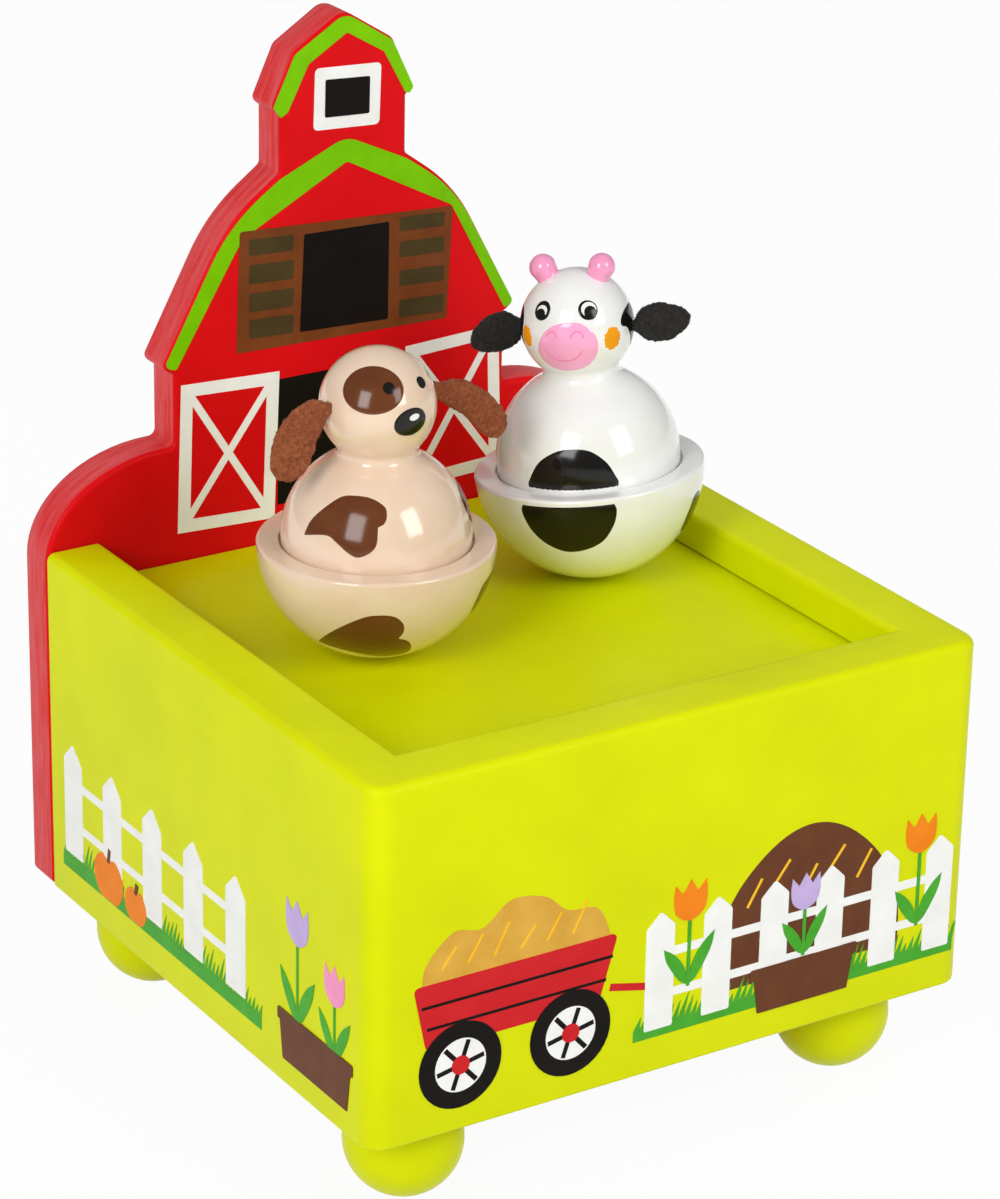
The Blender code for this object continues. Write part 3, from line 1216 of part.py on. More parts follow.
def head_mesh(name, head_height):
    """Turned ball with its dowel, its centre at the origin."""
    cut = neck_level(head_height) + SEAM / 2 - head_height
    start = acos(-cut / HEAD_RADIUS)
    profile = [(0, cut - DOWEL_LENGTH), (DOWEL_RADIUS, cut - DOWEL_LENGTH), (DOWEL_RADIUS, cut)]
    for i in range(BALL_ROWS + 1):
        turn = start + (pi - start) * i / BALL_ROWS
        profile.append((HEAD_RADIUS * sin(turn) if i < BALL_ROWS else 0, -HEAD_RADIUS * cos(turn)))
    return turned(name, profile, FOOT_STEPS)


def ear_mesh(name, side, length, width, drops, rise, shares):
    """A felt leaf in the plane across the face. Its outline follows the width shares from the
    root to the tip. It bends down from the one drop to the other and curls forward a little.
    The origin is the head's centre."""
    sign = {"left": -1, "right": 1}[side]
    root_drop, tip_drop = drops
    root_half = shares[0] * width / 2
    reach = rise + root_half * cos(root_drop)
    surface = sqrt(HEAD_RADIUS**2 - min(reach, HEAD_RADIUS / 2) ** 2)
    start = surface + SEAM + root_half * sin(max(root_drop, 0))
    spine = Vector((sign * start, 0, rise))
    last = len(shares) - 1
    half_thickness = EAR_THICKNESS / 2
    rim = [(1, 0), (1 / 2, 1), (-1 / 2, 1), (-1, 0), (-1 / 2, -1), (1 / 2, -1)]
    points, rings = [], []
    for i, share in enumerate(shares):
        if i > 0:
            halfway = root_drop + (tip_drop - root_drop) * (i - 1 / 2) / last
            spine = spine + Vector((sign * cos(halfway), 0, -sin(halfway))) * length / last
        drop = root_drop + (tip_drop - root_drop) * i / last
        across = Vector((sign * sin(drop), 0, cos(drop)))
        middle = spine - Vector((0, EAR_CUP * (i / last) ** 2, 0))
        half = share * width / 2
        begin = len(points)
        for wide, thick in rim:
            points.append(middle + across * half * wide + Vector((0, half_thickness * thick, 0)))
        rings.append(range(begin, begin + len(rim)))
    faces = [tuple(rings[0]), tuple(reversed(rings[-1]))]
    for low, high in zip(rings, rings[1:]):
        for step in range(len(rim)):
            following = (step + 1) % len(rim)
            faces.append((low[following], low[step], high[step], high[following]))
    shape = bmesh.new()
    corners = [shape.verts.new(p) for p in points]
    for face in faces:
        shape.faces.new([corners[i] for i in face])
    bmesh.ops.recalc_face_normals(shape, faces=shape.faces)
    made = bpy.data.meshes.new(name)
    shape.to_mesh(made)
    shape.free()
    return smooth(made, EAR_SMOOTH_ANGLE)


def horn_mesh(name):
    """Short horn with a round top, along Z from the head's surface. Its base is hollowed to
    sit on the ball of the head."""
    seat = sqrt(HEAD_RADIUS**2 - HORN_BASE_RADIUS**2) - HEAD_RADIUS
    profile = [(0, 0), (HORN_BASE_RADIUS, seat)]
    for i in range(HORN_ROWS + 1):
        turn = pi / 2 * i / HORN_ROWS
        radius = HORN_RADIUS * cos(turn) if i < HORN_ROWS else 0
        profile.append((radius, HORN_RISE + HORN_RADIUS * sin(turn)))
    return turned(name, profile, SPRING_STEPS)


def animal(name, head_height, angle, facing, lean, finish, felt, ears):
    """One roly-poly figure about the centre of its bowl: bowl, base magnet, dome, head and ears."""
    x, y = TURN_AXIS_SIDE + ORBIT * cos(angle), AXIS_Y + ORBIT * sin(angle)
    turn = lean @ Matrix.Rotation(facing, 4, "Z")
    axis = axis_empty(f"{name}_axis", (x, y, BOWL_Z), turn)
    place(f"{name}_bowl", bowl_mesh(f"{name}_bowl"), finish, parent=axis)
    low = -BOWL_RADIUS + BASE_SKIN + 2 * SEAM
    magnet = rod(f"{name}_base_magnet", BASE_MAGNET_RADIUS, low, low + BASE_MAGNET_HEIGHT)
    place(f"{name}_base_magnet", magnet, "magnet_nickel", parent=axis)
    place(f"{name}_dome", dome_mesh(f"{name}_dome", head_height), finish, parent=axis)
    head_axis = axis_empty(f"{name}_head_axis", (0, 0, head_height), parent=axis)
    place(f"{name}_head", head_mesh(f"{name}_head", head_height), finish, parent=head_axis)
    length, width, drops, rise, shares = ears
    for side in ("left", "right"):
        ear = ear_mesh(f"{name}_ear_{side}", side, length, width, drops[side], rise, shares)
        place(f"{name}_ear_{side}", ear, felt, parent=head_axis)
    return head_axis


def animals():
    dog_ears = (DOG_EAR_LENGTH, DOG_EAR_WIDTH, DOG_EAR_DROPS, DOG_EAR_RISE, DOG_EAR_SHARES)
    animal(
        "dog", DOG_HEAD_HEIGHT, DOG_ORBIT_ANGLE, DOG_FACE_AZIMUTH,
        Matrix.Identity(4), "beige_lacquer", "brown_felt", dog_ears,
    )
    tilt_axis = Vector((-sin(COW_LEAN_TOWARDS), cos(COW_LEAN_TOWARDS), 0))
    lean = Matrix.Rotation(COW_LEAN, 4, tilt_axis)
    cow_ears = (COW_EAR_LENGTH, COW_EAR_WIDTH, COW_EAR_DROPS, COW_EAR_RISE, COW_EAR_SHARES)
    head = animal(
        "cow", COW_HEAD_HEIGHT, COW_ORBIT_ANGLE, COW_FACE_AZIMUTH,
        lean, "white_lacquer", "black_felt", cow_ears,
    )
    for side, sign in (("left", -1), ("right", 1)):
        turn = Matrix.Rotation(sign * HORN_SWEEP, 4, "Z") @ Matrix.Rotation(sign * HORN_SPLAY, 4, "Y")
        seat = turn @ Matrix.Translation((0, 0, HEAD_RADIUS + SEAM))
        place(f"cow_horn_{side}", horn_mesh(f"cow_horn_{side}"), "pink_lacquer", turn=seat, parent=head)


def main():
    clear_scene()
    front_wall()
    side_wall("left")
    side_wall("right")
    stage_plate()
    bottom_board()
    ball_feet()
    board_screws()
    barn_board()
    movement = axis_empty("movement", (TURN_AXIS_SIDE, 0, 0))
    bed(movement)
    movement_screws(movement)
    comb(movement)
    winding_key_and_arbor(movement)
    wrap_spring(movement)
    barrel_and_turntable(movement)
    pinned_cylinder(movement)
    governor_wheel(movement)
    governor_bracket(movement)
    governor_worm_and_fan(movement)
    animals()


main()
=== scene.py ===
# Looks of the wind-up toy music box: lime green box on ball feet, red barn shaped back board,
# a dog and a cow turned from wood, and the brass and steel movement inside.
import json
import math

import bmesh
import bpy
import numpy as np
from mathutils import Matrix, Vector


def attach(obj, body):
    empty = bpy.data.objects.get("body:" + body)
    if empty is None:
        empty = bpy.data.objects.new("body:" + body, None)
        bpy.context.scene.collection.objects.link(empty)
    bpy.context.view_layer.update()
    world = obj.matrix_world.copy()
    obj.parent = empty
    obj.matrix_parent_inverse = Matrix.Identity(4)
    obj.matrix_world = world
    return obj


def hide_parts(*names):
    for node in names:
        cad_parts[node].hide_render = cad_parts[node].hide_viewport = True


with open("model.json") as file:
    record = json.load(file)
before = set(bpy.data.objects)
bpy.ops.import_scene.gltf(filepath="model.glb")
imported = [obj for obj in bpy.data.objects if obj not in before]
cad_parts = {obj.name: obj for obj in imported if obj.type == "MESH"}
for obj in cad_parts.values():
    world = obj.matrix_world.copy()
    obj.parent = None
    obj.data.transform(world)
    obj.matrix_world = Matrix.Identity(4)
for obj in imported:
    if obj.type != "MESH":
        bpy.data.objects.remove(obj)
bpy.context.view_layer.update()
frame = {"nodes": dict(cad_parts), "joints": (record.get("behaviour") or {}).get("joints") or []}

mm = 0.001
rng = np.random.default_rng(11)
print("frame loaded:", len(frame["nodes"]), "nodes")

# Camera first

cameraSpec = {
    "place": (-0.3485, -0.54495, 0.3509),
    "azimuth": 32.689,    # degrees from +Y towards +X
    "elevation": -23.119,
    "roll": 1.139,
    "lens": 133.3,        # on the long side of the picture
}


def aimCamera(spec):
    azimuth, elevation, roll = (math.radians(spec[k]) for k in ("azimuth", "elevation", "roll"))
    flat = math.cos(elevation)
    forward = Vector((math.sin(azimuth) * flat, math.cos(azimuth) * flat, math.sin(elevation)))
    right = forward.cross(Vector((0, 0, 1))).normalized()
    up = right.cross(forward)
    side = right * math.cos(roll) + up * math.sin(roll)
    top = up * math.cos(roll) - right * math.sin(roll)
    data = bpy.data.cameras.new("camera")
    data.lens = spec["lens"]
    data.sensor_width = 36
    data.clip_start = 0.01
    data.clip_end = 50
    camera = bpy.data.objects.new("camera", data)
    bpy.context.scene.collection.objects.link(camera)
    turn = Matrix((side, top, -forward)).transposed().to_4x4()
    camera.matrix_world = Matrix.Translation(spec["place"]) @ turn
    bpy.context.scene.camera = camera


aimCamera(cameraSpec)

# Nodes and colours


def linearColor(hexText):
    # sRGB hex to linear: c/12.92 under 0.04045, else ((c + 0.055) / 1.055) to the power 2.4
    parts = np.array([int(hexText[i:i + 2], 16) for i in (1, 3, 5)]) / 255
    linear = np.where(parts <= 0.04045, parts / 12.92, ((parts + 0.055) / 1.055) ** 2.4)
    return (*linear.tolist(), 1.0)


def plug(tree, node, inputs):
    # each input gets its link or its value
    for key, value in inputs.items():
        if isinstance(value, bpy.types.NodeSocket):
            tree.links.new(value, node.inputs[key])
        else:
            node.inputs[key].default_value = value


def addNode(tree, kind, output, inputs, stops=(), **settings):
    # one node with its settings, its links and values, and a ramp's stops (place, hex colour);
    # gives back the output that the next node takes
    node = tree.nodes.new("ShaderNode" + kind)
    for key, value in settings.items():
        setattr(node, key, value)
    if stops:
        elements = node.color_ramp.elements
        while len(elements) < len(stops):
            elements.new(0.5)
        for element, (place, tone) in zip(elements, stops):
            element.position = place
            element.color = linearColor(tone)
    plug(tree, node, inputs)
    return node.outputs[output]


def startMaterial(name):
    material = bpy.data.materials.new(name)
    material.use_nodes = True
    tree = material.node_tree
    return material, tree, tree.nodes["Principled BSDF"]


def lacquer(spec):
    # sprayed lacquer on wood: slow drifts of colour, orange peel, and gloss that wavers a little
    material, tree, shader = startMaterial(spec["name"])
    place = addNode(tree, "TexCoord", "Object", {})
    drift = addNode(tree, "TexNoise", "Fac", {"Vector": place, "Scale": 1 / spec["drift"], "Detail": 3.0,
                                              "Roughness": 0.55})
    peel = addNode(tree, "TexNoise", "Fac", {"Vector": place, "Scale": 1 / spec["peel"], "Detail": 2.0})
    color = addNode(tree, "ValToRGB", "Color", {"Fac": drift}, [(0.3, spec["deep"]), (0.7, spec["color"])])
    gloss = addNode(tree, "MapRange", "Result", {"Value": drift, "To Min": spec["rough"] * 0.85,
                                                 "To Max": spec["rough"] * 1.2})
    bump = addNode(tree, "Bump", "Normal", {"Height": peel, "Distance": spec["peelDepth"], "Strength": 0.35})
    plug(tree, shader, {"Base Color": color, "Roughness": gloss, "Normal": bump, "IOR": 1.5,
                        "Specular IOR Level": spec.get("shine", 0.5), "Coat Weight": spec.get("coat", 0.0),
                        "Coat Roughness": 0.06})
    return material


def plywood(spec):
    # sanded sheet of birch: long grain that wavers, and fine pores along it
    material, tree, shader = startMaterial(spec["name"])
    place = addNode(tree, "TexCoord", "Object", {})
    along = addNode(tree, "Mapping", "Vector", {"Vector": place, "Scale": spec["stretch"]})
    grain = addNode(tree, "TexNoise", "Fac", {"Vector": along, "Scale": 1 / spec["grain"], "Detail": 6.0,
                                              "Roughness": 0.65, "Distortion": 0.6})
    pores = addNode(tree, "TexNoise", "Fac", {"Vector": along, "Scale": 4 / spec["grain"], "Detail": 2.0})
    wood = addNode(tree, "ValToRGB", "Color", {"Fac": grain},
                   [(0.28, spec["dark"]), (0.5, spec["color"]), (0.75, spec["light"])])
    bump = addNode(tree, "Bump", "Normal", {"Height": pores, "Distance": 0.06 * mm, "Strength": 0.5})
    plug(tree, shader, {"Base Color": wood, "Normal": bump, "Roughness": 0.62, "IOR": 1.5})
    return material


def metal(spec):
    # machined or plated metal: fine marks along one way, and stains that dull it in places
    material, tree, shader = startMaterial(spec["name"])
    place = addNode(tree, "TexCoord", "Object", {})
    along = addNode(tree, "Mapping", "Vector", {"Vector": place, "Scale": spec.get("stretch", (1, 1, 8))})
    lines = addNode(tree, "TexNoise", "Fac", {"Vector": along, "Scale": 1 / spec["grain"], "Detail": 3.0})
    stain = addNode(tree, "TexNoise", "Fac", {"Vector": place, "Scale": 1 / (6 * mm), "Detail": 4.0})
    color = addNode(tree, "ValToRGB", "Color", {"Fac": stain}, [(0.3, spec["dark"]), (0.65, spec["color"])])
    gloss = addNode(tree, "MapRange", "Result", {"Value": lines, "To Min": spec["rough"] * 0.75,
                                                 "To Max": spec["rough"] * 1.35})
    bump = addNode(tree, "Bump", "Normal", {"Height": lines, "Distance": 0.01 * mm, "Strength": 0.4})
    plug(tree, shader, {"Base Color": color, "Roughness": gloss, "Normal": bump, "Metallic": 1.0})
    return material


def felt(spec):
    # pressed wool felt: matted fibre clumps about half a millimetre across, and a soft sheen
    material, tree, shader = startMaterial(spec["name"])
    place = addNode(tree, "TexCoord", "Object", {})
    clumps = addNode(tree, "TexNoise", "Fac", {"Vector": place, "Scale": 1 / (0.7 * mm), "Detail": 5.0,
                                               "Roughness": 0.7, "Distortion": 0.8})
    color = addNode(tree, "ValToRGB", "Color", {"Fac": clumps},
                    [(0.3, spec["deep"]), (0.5, spec["color"]), (0.72, spec["pale"])])
    bump = addNode(tree, "Bump", "Normal", {"Height": clumps, "Distance": 0.3 * mm, "Strength": 0.9})
    plug(tree, shader, {"Base Color": color, "Normal": bump, "Roughness": 0.95,
                        "Sheen Weight": spec["sheen"], "Sheen Roughness": 0.5})
    return material


def lacquerPly(spec):
    # lacquered plywood: as lacquer, but on cut edges, where the normal has little Y, a paler red in streaks
    # about a millimetre apart stands partly for plies showing through and partly for a painted sheen of the
    # lamps
    material = lacquer(spec)
    tree = material.node_tree
    shader = tree.nodes["Principled BSDF"]
    place, normal = (addNode(tree, "TexCoord", word, {}) for word in ("Object", "Normal"))
    facing = addNode(tree, "SeparateXYZ", "Y", {"Vector": normal})
    level = addNode(tree, "Math", "Value", {0: facing}, operation="ABSOLUTE")
    edge = addNode(tree, "MapRange", "Result", {"Value": level, "From Min": 0.35, "From Max": 0.1,
                                                "To Min": 0.0, "To Max": 1.0})
    squeezed = addNode(tree, "Mapping", "Vector", {"Vector": place, "Scale": (0.12, 1.0, 0.12)})
    plies = addNode(tree, "TexNoise", "Fac", {"Vector": squeezed, "Scale": 1 / (1.1 * mm), "Detail": 4.0,
                                              "Roughness": 0.6})
    streak = addNode(tree, "MapRange", "Result", {"Value": plies, "From Min": 0.22, "From Max": 0.66})
    amount = addNode(tree, "Math", "Value", {0: streak, 1: edge}, operation="MULTIPLY")
    share = addNode(tree, "Math", "Value", {0: amount, 1: spec["streak"]}, operation="MULTIPLY")
    red, peel = (shader.inputs[key].links[0].from_socket for key in ("Base Color", "Normal"))
    # the cut edges take the paler red: ply streaks, and a painted sheen where the lamps would graze them
    mixed = addNode(tree, "Mix", 2, {0: share, 6: red, 7: linearColor(spec["streakColor"])}, data_type="RGBA")
    bump = addNode(tree, "Bump", "Normal", {"Height": amount, "Distance": 0.08 * mm, "Strength": 0.35,
                                            "Normal": peel})
    plug(tree, shader, {"Base Color": mixed, "Normal": bump})
    return material


print("material makers ready")

# Finishes, each named for what the real one is

# satin lacquer sprayed on poplar plywood: an even yellow green under a broad soft gloss
limeLacquer = lacquer({"name": "limeLacquerOnPoplar", "color": "#E0E700", "deep": "#D6DE00",
                       "drift": 22 * mm, "peel": 1.6 * mm, "peelDepth": 0.05 * mm, "rough": 0.36,
                       "shine": 0.08})
# thin satin lacquer on birch plywood: an even red; its cut edges paler in streaks, partly plies that drank
# it, partly a painted sheen
redLacquer = lacquerPly({"name": "redLacquerOnPlywood", "color": "#E20E16", "deep": "#D80912",
                         "drift": 18 * mm, "peel": 1.3 * mm, "peelDepth": 0.06 * mm, "rough": 0.36,
                         "shine": 0.08, "streak": 0.6, "streakColor": "#DE7072"})


def turnedGloss(name, color, deep, drift, rough=0.14, peel=1.0 * mm, coat=0.5, **more):
    # thick gloss lacquer or paint on turned beech: small sharp highlights in a clear coat
    return lacquer({"name": name, "color": color, "deep": deep, "drift": drift, "rough": rough,
                    "peel": peel, "peelDepth": 0.02 * mm, "coat": coat, **more})


beigeGloss = turnedGloss("beigeGlossOnTurnedBeech", "#EED4BC", "#E8CBB1", 9 * mm, peel=1.2 * mm)
whiteGloss = turnedGloss("whiteGlossOnTurnedBeech", "#F6F6F4", "#F0F0ED", 9 * mm, peel=1.2 * mm)
pinkGloss = turnedGloss("pinkGlossOnTurnedBeech", "#FBA3CC", "#F898C3", 4 * mm, 0.16)
spotBrown = turnedGloss("brownGlossSpots", "#6C3B1E", "#613318", 5 * mm, coat=0.15, shine=0.3)
spotBlack = turnedGloss("blackGlossSpots", "#161412", "#100E0D", 5 * mm, coat=0.15, shine=0.3)
muzzlePink = turnedGloss("pinkGlossMuzzle", "#FEB0D8", "#FCA7D2", 5 * mm, 0.18, coat=0.4)
brownFelt = felt({"name": "brownWoolFelt", "color": "#914923", "deep": "#743415", "pale": "#B3683F",
                  "sheen": 0.08})
blackFelt = felt({"name": "blackWoolFelt", "color": "#1E1C1B", "deep": "#100F0E", "pale": "#343130",
                  "sheen": 0.05})
# birch plywood under the lacquer, sanded: pale and dull, with its grain along Y
barePlywood = plywood({"name": "sandedBirchPlywood", "color": "#CFA777", "dark": "#B98F5F",
                       "light": "#DDBB8E", "grain": 1.6 * mm, "stretch": (1.0, 0.09, 1.0)})
# the movement: grainy cast zinc, turned brass, ground and zinc plated steel, nickel on magnets
zincCasting = metal({"name": "asCastZinc", "color": "#B9BABD", "dark": "#9C9DA0", "rough": 0.45,
                     "grain": 0.6 * mm, "stretch": (1, 1, 1)})
cutBrass = metal({"name": "machinedBrass", "color": "#E2C070", "dark": "#C9A457", "rough": 0.26,
                  "grain": 0.25 * mm})
springSteel = metal({"name": "groundSpringSteel", "color": "#A9ABAE", "dark": "#8F9195", "rough": 0.3,
                     "grain": 0.25 * mm, "stretch": (8, 1, 1)})
platedSteel = metal({"name": "zincPlatedSteel", "color": "#CFCFCC", "dark": "#BDBDB8", "rough": 0.25,
                     "grain": 0.4 * mm})
nickel = metal({"name": "nickelPlatedMagnet", "color": "#C9C8C6", "dark": "#B9B8B5", "rough": 0.18,
                "grain": 0.5 * mm})
# moulded nylon: off white with a dull even gloss
fanPlastic = lacquer({"name": "mouldedNylonFan", "color": "#E8E4D8", "deep": "#DDD8CA", "drift": 4 * mm,
                      "peel": 0.8 * mm, "peelDepth": 0.02 * mm, "rough": 0.45})


def screenPaint(name, color, deep, rough=0.36):
    # screen printed or stencilled paint: a thin even film with a faint tooth
    return lacquer({"name": name, "color": color, "deep": deep, "drift": 5 * mm, "peel": 0.7 * mm,
                    "peelDepth": 0.03 * mm, "rough": rough, "shine": 0.08})


whitePaint = screenPaint("whiteScreenPaint", "#F8F8F6", "#F0F0ED")
blackPaint = screenPaint("blackScreenPaint", "#17120F", "#100D0B")
leafPaint = screenPaint("leafGreenPaint", "#7ECB00", "#74BF00")
slatPaint = screenPaint("brownStencilPaint", "#7E4320", "#703A1A")
olivePaint = screenPaint("oliveShadowPaint", "#4F4124", "#43371D")
redPaint = screenPaint("redScreenPaint", "#D3262B", "#C81F25")
orangePaint = screenPaint("orangeScreenPaint", "#F78C1E", "#F07F12")
yellowPaint = screenPaint("yellowScreenPaint", "#FBC531", "#F5BA22")
strawPaint = screenPaint("strawScreenPaint", "#E0AE4A", "#D39F3A")
lilacPaint = screenPaint("lilacScreenPaint", "#C9B4E4", "#BEA7DD")
pinkPaint = screenPaint("pinkScreenPaint", "#F79FC8", "#F292BF")
brownPaint = screenPaint("brownScreenPaint", "#6E4128", "#623821")
grassPaint = screenPaint("grassGreenPaint", "#4FAE35", "#43A02B")
rosePaint = screenPaint("roseLinePaint", "#F08CBC", "#EC82B4", 0.25)
cheekPaint = screenPaint("orangeCheekPaint", "#F9A61A", "#F39C0F", 0.25)
print("finishes made:", len(bpy.data.materials))

# Shapes as numpy arrays


def unit(vectors):
    return vectors / np.maximum(np.linalg.norm(vectors, axis=-1, keepdims=True), 1e-12)


def gridSurface(points, capEnds=False):
    # quads between neighbours of a grid of points (rows, columns, 3), closed round the columns;
    # capEnds puts one face on the first row and one on the last
    rows, cols = points.shape[:2]
    r, c = np.meshgrid(np.arange(rows - 1), np.arange(cols), indexing="ij")
    following = (c + 1) % cols
    quads = np.stack([r * cols + c, r * cols + following, (r + 1) * cols + following, (r + 1) * cols + c],
                     axis=-1)
    faces, last = quads.reshape(-1, 4).tolist(), (rows - 1) * cols
    if capEnds:
        faces += [list(range(cols)), list(range(last + cols - 1, last - 1, -1))]
    return points.reshape(-1, 3), faces


def joinSurfaces(surfaces):
    # several surfaces as one: their points in a row, their faces renumbered
    allPoints, allFaces, start = [], [], 0
    for points, faces in surfaces:
        allPoints.append(points)
        allFaces += [[i + start for i in face] for face in faces]
        start += len(points)
    return np.concatenate(allPoints), allFaces


def makePiece(name, surfaces, material, body="box", replaces=(), sharpAngle=35):
    # closed, outward mesh of the surfaces, riding on its body
    points, faces = joinSurfaces(surfaces)
    mesh = bpy.data.meshes.new(name)
    mesh.from_pydata(points.tolist(), [], faces)
    shape = bmesh.new()
    shape.from_mesh(mesh)
    bmesh.ops.remove_doubles(shape, verts=shape.verts, dist=1e-7)
    bmesh.ops.dissolve_degenerate(shape, dist=1e-8, edges=shape.edges)
    bmesh.ops.recalc_face_normals(shape, faces=shape.faces)
    shape.to_mesh(mesh)
    shape.free()
    mesh.shade_smooth()
    mesh.set_sharp_from_angle(angle=math.radians(sharpAngle))
    mesh.materials.append(material)
    piece = bpy.data.objects.new(name, mesh)
    bpy.context.scene.collection.objects.link(piece)
    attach(piece, body)
    if replaces:
        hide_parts(*replaces)


def arcPoints(centre, radius, start, stop, count):
    # points at even angles (degrees) on a circle: centre + radius * (cos, sin)
    angle = np.radians(np.linspace(start, stop, count))
    return np.stack([centre[0] + radius * np.cos(angle), centre[1] + radius * np.sin(angle)], axis=-1)


def roundCorners(corners, radii, steps=8):
    # each corner becomes an arc that touches both sides: its centre lies on the bisector at
    # radius / sin(half the corner's angle)
    here = np.asarray(corners, float)
    radius = np.asarray(radii, float)[:, None]
    before = unit(np.roll(here, 1, axis=0) - here)
    after = unit(np.roll(here, -1, axis=0) - here)
    half = np.arccos(np.clip((before * after).sum(axis=1), -1, 1))[:, None] / 2
    centre = here + unit(before + after) * radius / np.sin(half)
    first = here + before * radius / np.tan(half) - centre
    last = here + after * radius / np.tan(half) - centre
    start = np.arctan2(first[:, 1], first[:, 0])
    sweep = (np.arctan2(last[:, 1], last[:, 0]) - start + np.pi) % (2 * np.pi) - np.pi
    angle = start[:, None] + sweep[:, None] * np.linspace(0, 1, steps)[None, :]
    ring = np.stack([np.cos(angle), np.sin(angle)], axis=-1)
    outline = (centre[:, None, :] + radius[:, None, :] * ring).reshape(-1, 2)
    apart = np.linalg.norm(outline - np.roll(outline, 1, axis=0), axis=1) > 1e-7
    return outline[apart]


def throughPoints(points, steps, closed=True, corners=()):
    # cubic curve through every point: the slope there is half the step from the point before to
    # the point after, and at a corner each side takes the step on its own side
    here = np.asarray(points, float)
    after, before = np.roll(here, -1, axis=0), np.roll(here, 1, axis=0)
    if not closed:
        after[-1], before[0] = here[-1], here[0]
    leaving, coming = (after - before) / 2, (after - before) / 2
    for corner in corners:
        leaving[corner] = after[corner] - here[corner]
        coming[corner] = here[corner] - before[corner]
    t = np.linspace(0, 1, steps, endpoint=False)[None, :, None]
    arriving = np.roll(coming, -1, axis=0)
    curve = (here[:, None] * (2 * t**3 - 3 * t**2 + 1) + leaving[:, None] * (t**3 - 2 * t**2 + t)
             + after[:, None] * (3 * t**2 - 2 * t**3) + arriving[:, None] * (t**3 - t**2))
    if closed:
        return curve.reshape(-1, here.shape[1])
    return np.concatenate([curve[:-1].reshape(-1, here.shape[1]), here[-1:]])


def turnedSurface(profile, steps=64, matrix=None):
    # lathe work: (radius, height) points spun about the axis, (r cos a, r sin a, z)
    profile = np.asarray(profile, float)
    angle = np.linspace(0, 2 * np.pi, steps, endpoint=False)
    grid = np.stack([profile[:, :1] * np.cos(angle), profile[:, :1] * np.sin(angle),
                     np.repeat(profile[:, 1:], steps, axis=1)], axis=-1)
    points, faces = gridSurface(grid)
    return moved(points, matrix), faces


def moved(points, matrix):
    # points under a 4x4 matrix: rotation times the point, plus the translation
    if matrix is None:
        return points
    table = np.array(matrix)
    return points @ table[:3, :3].T + table[:3, 3]


def prismSurface(top, bottom):
    # two outlines with the same count of points, joined by a wall, each closed by one face
    return gridSurface(np.stack([bottom, top]), capEnds=True)


def plateSurface(outline, frontY, backY, edge, steps=5, support=0.4 * mm):
    # a board: its outline moved inwards by edge * (1 - sin a) while it goes back by
    # edge * (1 - cos a), which rounds the front edge, and the same at the back
    tangent = unit(np.roll(outline, -1, axis=0) - np.roll(outline, 1, axis=0))
    normal = np.stack([tangent[:, 1], -tangent[:, 0]], axis=-1)
    angle = np.radians(np.linspace(0, 90, steps))
    inset = np.concatenate([[edge + support], edge * (1 - np.sin(angle))])
    depth = np.concatenate([[0], edge * (1 - np.cos(angle))])
    inset = np.concatenate([inset, inset[::-1]])[:, None]
    depth = np.concatenate([frontY + depth, (backY - depth)[::-1]])[:, None]
    grid = np.stack([outline[:, 0] - normal[:, 0] * inset, depth + 0 * inset * normal[:, 0],
                     outline[:, 1] - normal[:, 1] * inset], axis=-1)
    return gridSurface(grid, capEnds=True)


def flatPatch(outline, place, lift, sink=0.15 * mm):
    # paint on a flat face: the outline as a thin prism from just inside the face to its lift
    return prismSurface(place(outline, lift), place(outline, -sink))


# Box carcass: the three lime walls are painted as one

boxSpec = {
    "half": 55.0 * mm, "boardFront": 47.4 * mm, "back": 55.0 * mm, "foot": 17.2 * mm,
    "height": 59.6 * mm, "wall": 10.1 * mm, "corner": 3.6 * mm, "rimRound": 1.3 * mm,
    "footRound": 0.6 * mm, "seam": 0.3 * mm,
    "stageDrop": 6.3 * mm, "stage": 3.0 * mm, "groove": 3.0 * mm, "rebate": (5.2 * mm, 5.3 * mm),
}


def boxShell(spec):
    # a wall section (distance from the outer face, height) carried round the open U of the box.
    # Each point lies between the outer path, whose corners are arcs, and the inner path, which is
    # the outer one clipped to the inner rectangle
    half, wall, corner, seam = spec["half"], spec["wall"], spec["corner"], spec["seam"]
    end = spec["boardFront"] - seam
    straight = np.linspace(0, 1, 12)[:, None]
    leftSide = np.array([-half, end]) + straight * np.array([0, -half + corner - end])
    front = np.array([-half + corner, -half]) + straight * np.array([2 * (half - corner), 0])
    rightSide = leftSide[::-1] * np.array([-1, 1])
    outer = np.concatenate([
        leftSide, arcPoints((-half + corner, -half + corner), corner, 180, 270, 13),
        front, arcPoints((half - corner, -half + corner), corner, 270, 360, 13), rightSide])
    inner = np.stack([np.clip(outer[:, 0], -half + wall, half - wall),
                      np.maximum(outer[:, 1], -half + wall)], axis=-1)
    top, stageTop, stageFoot = (spec["height"] - drop for drop in (
        0, spec["stageDrop"], spec["stageDrop"] + spec["stage"]))
    r, f, (rebateIn, rebateUp), groove = spec["rimRound"], spec["footRound"], spec["rebate"], spec["groove"]
    section = np.concatenate([
        arcPoints((f, f), f, 270, 180, 5), arcPoints((r, top - r), r, 180, 90, 8),
        arcPoints((wall - r, top - r), r, 90, 0, 8),
        [(wall, stageTop + 3 * seam), (wall, stageTop + seam), (wall - groove, stageTop + seam),
         (wall - groove, stageFoot - seam), (wall, stageFoot - seam), (wall, rebateUp),
         (wall - rebateIn, rebateUp), (wall - rebateIn, 0)]])
    share = (section[:, 0] / wall)[None, :, None]
    flat = outer[:, None] * (1 - share) + inner[:, None] * share
    height = np.broadcast_to((spec["foot"] + section[:, 1])[None, :, None], flat.shape[:2] + (1,))
    return gridSurface(np.concatenate([flat, height], axis=-1), capEnds=True)


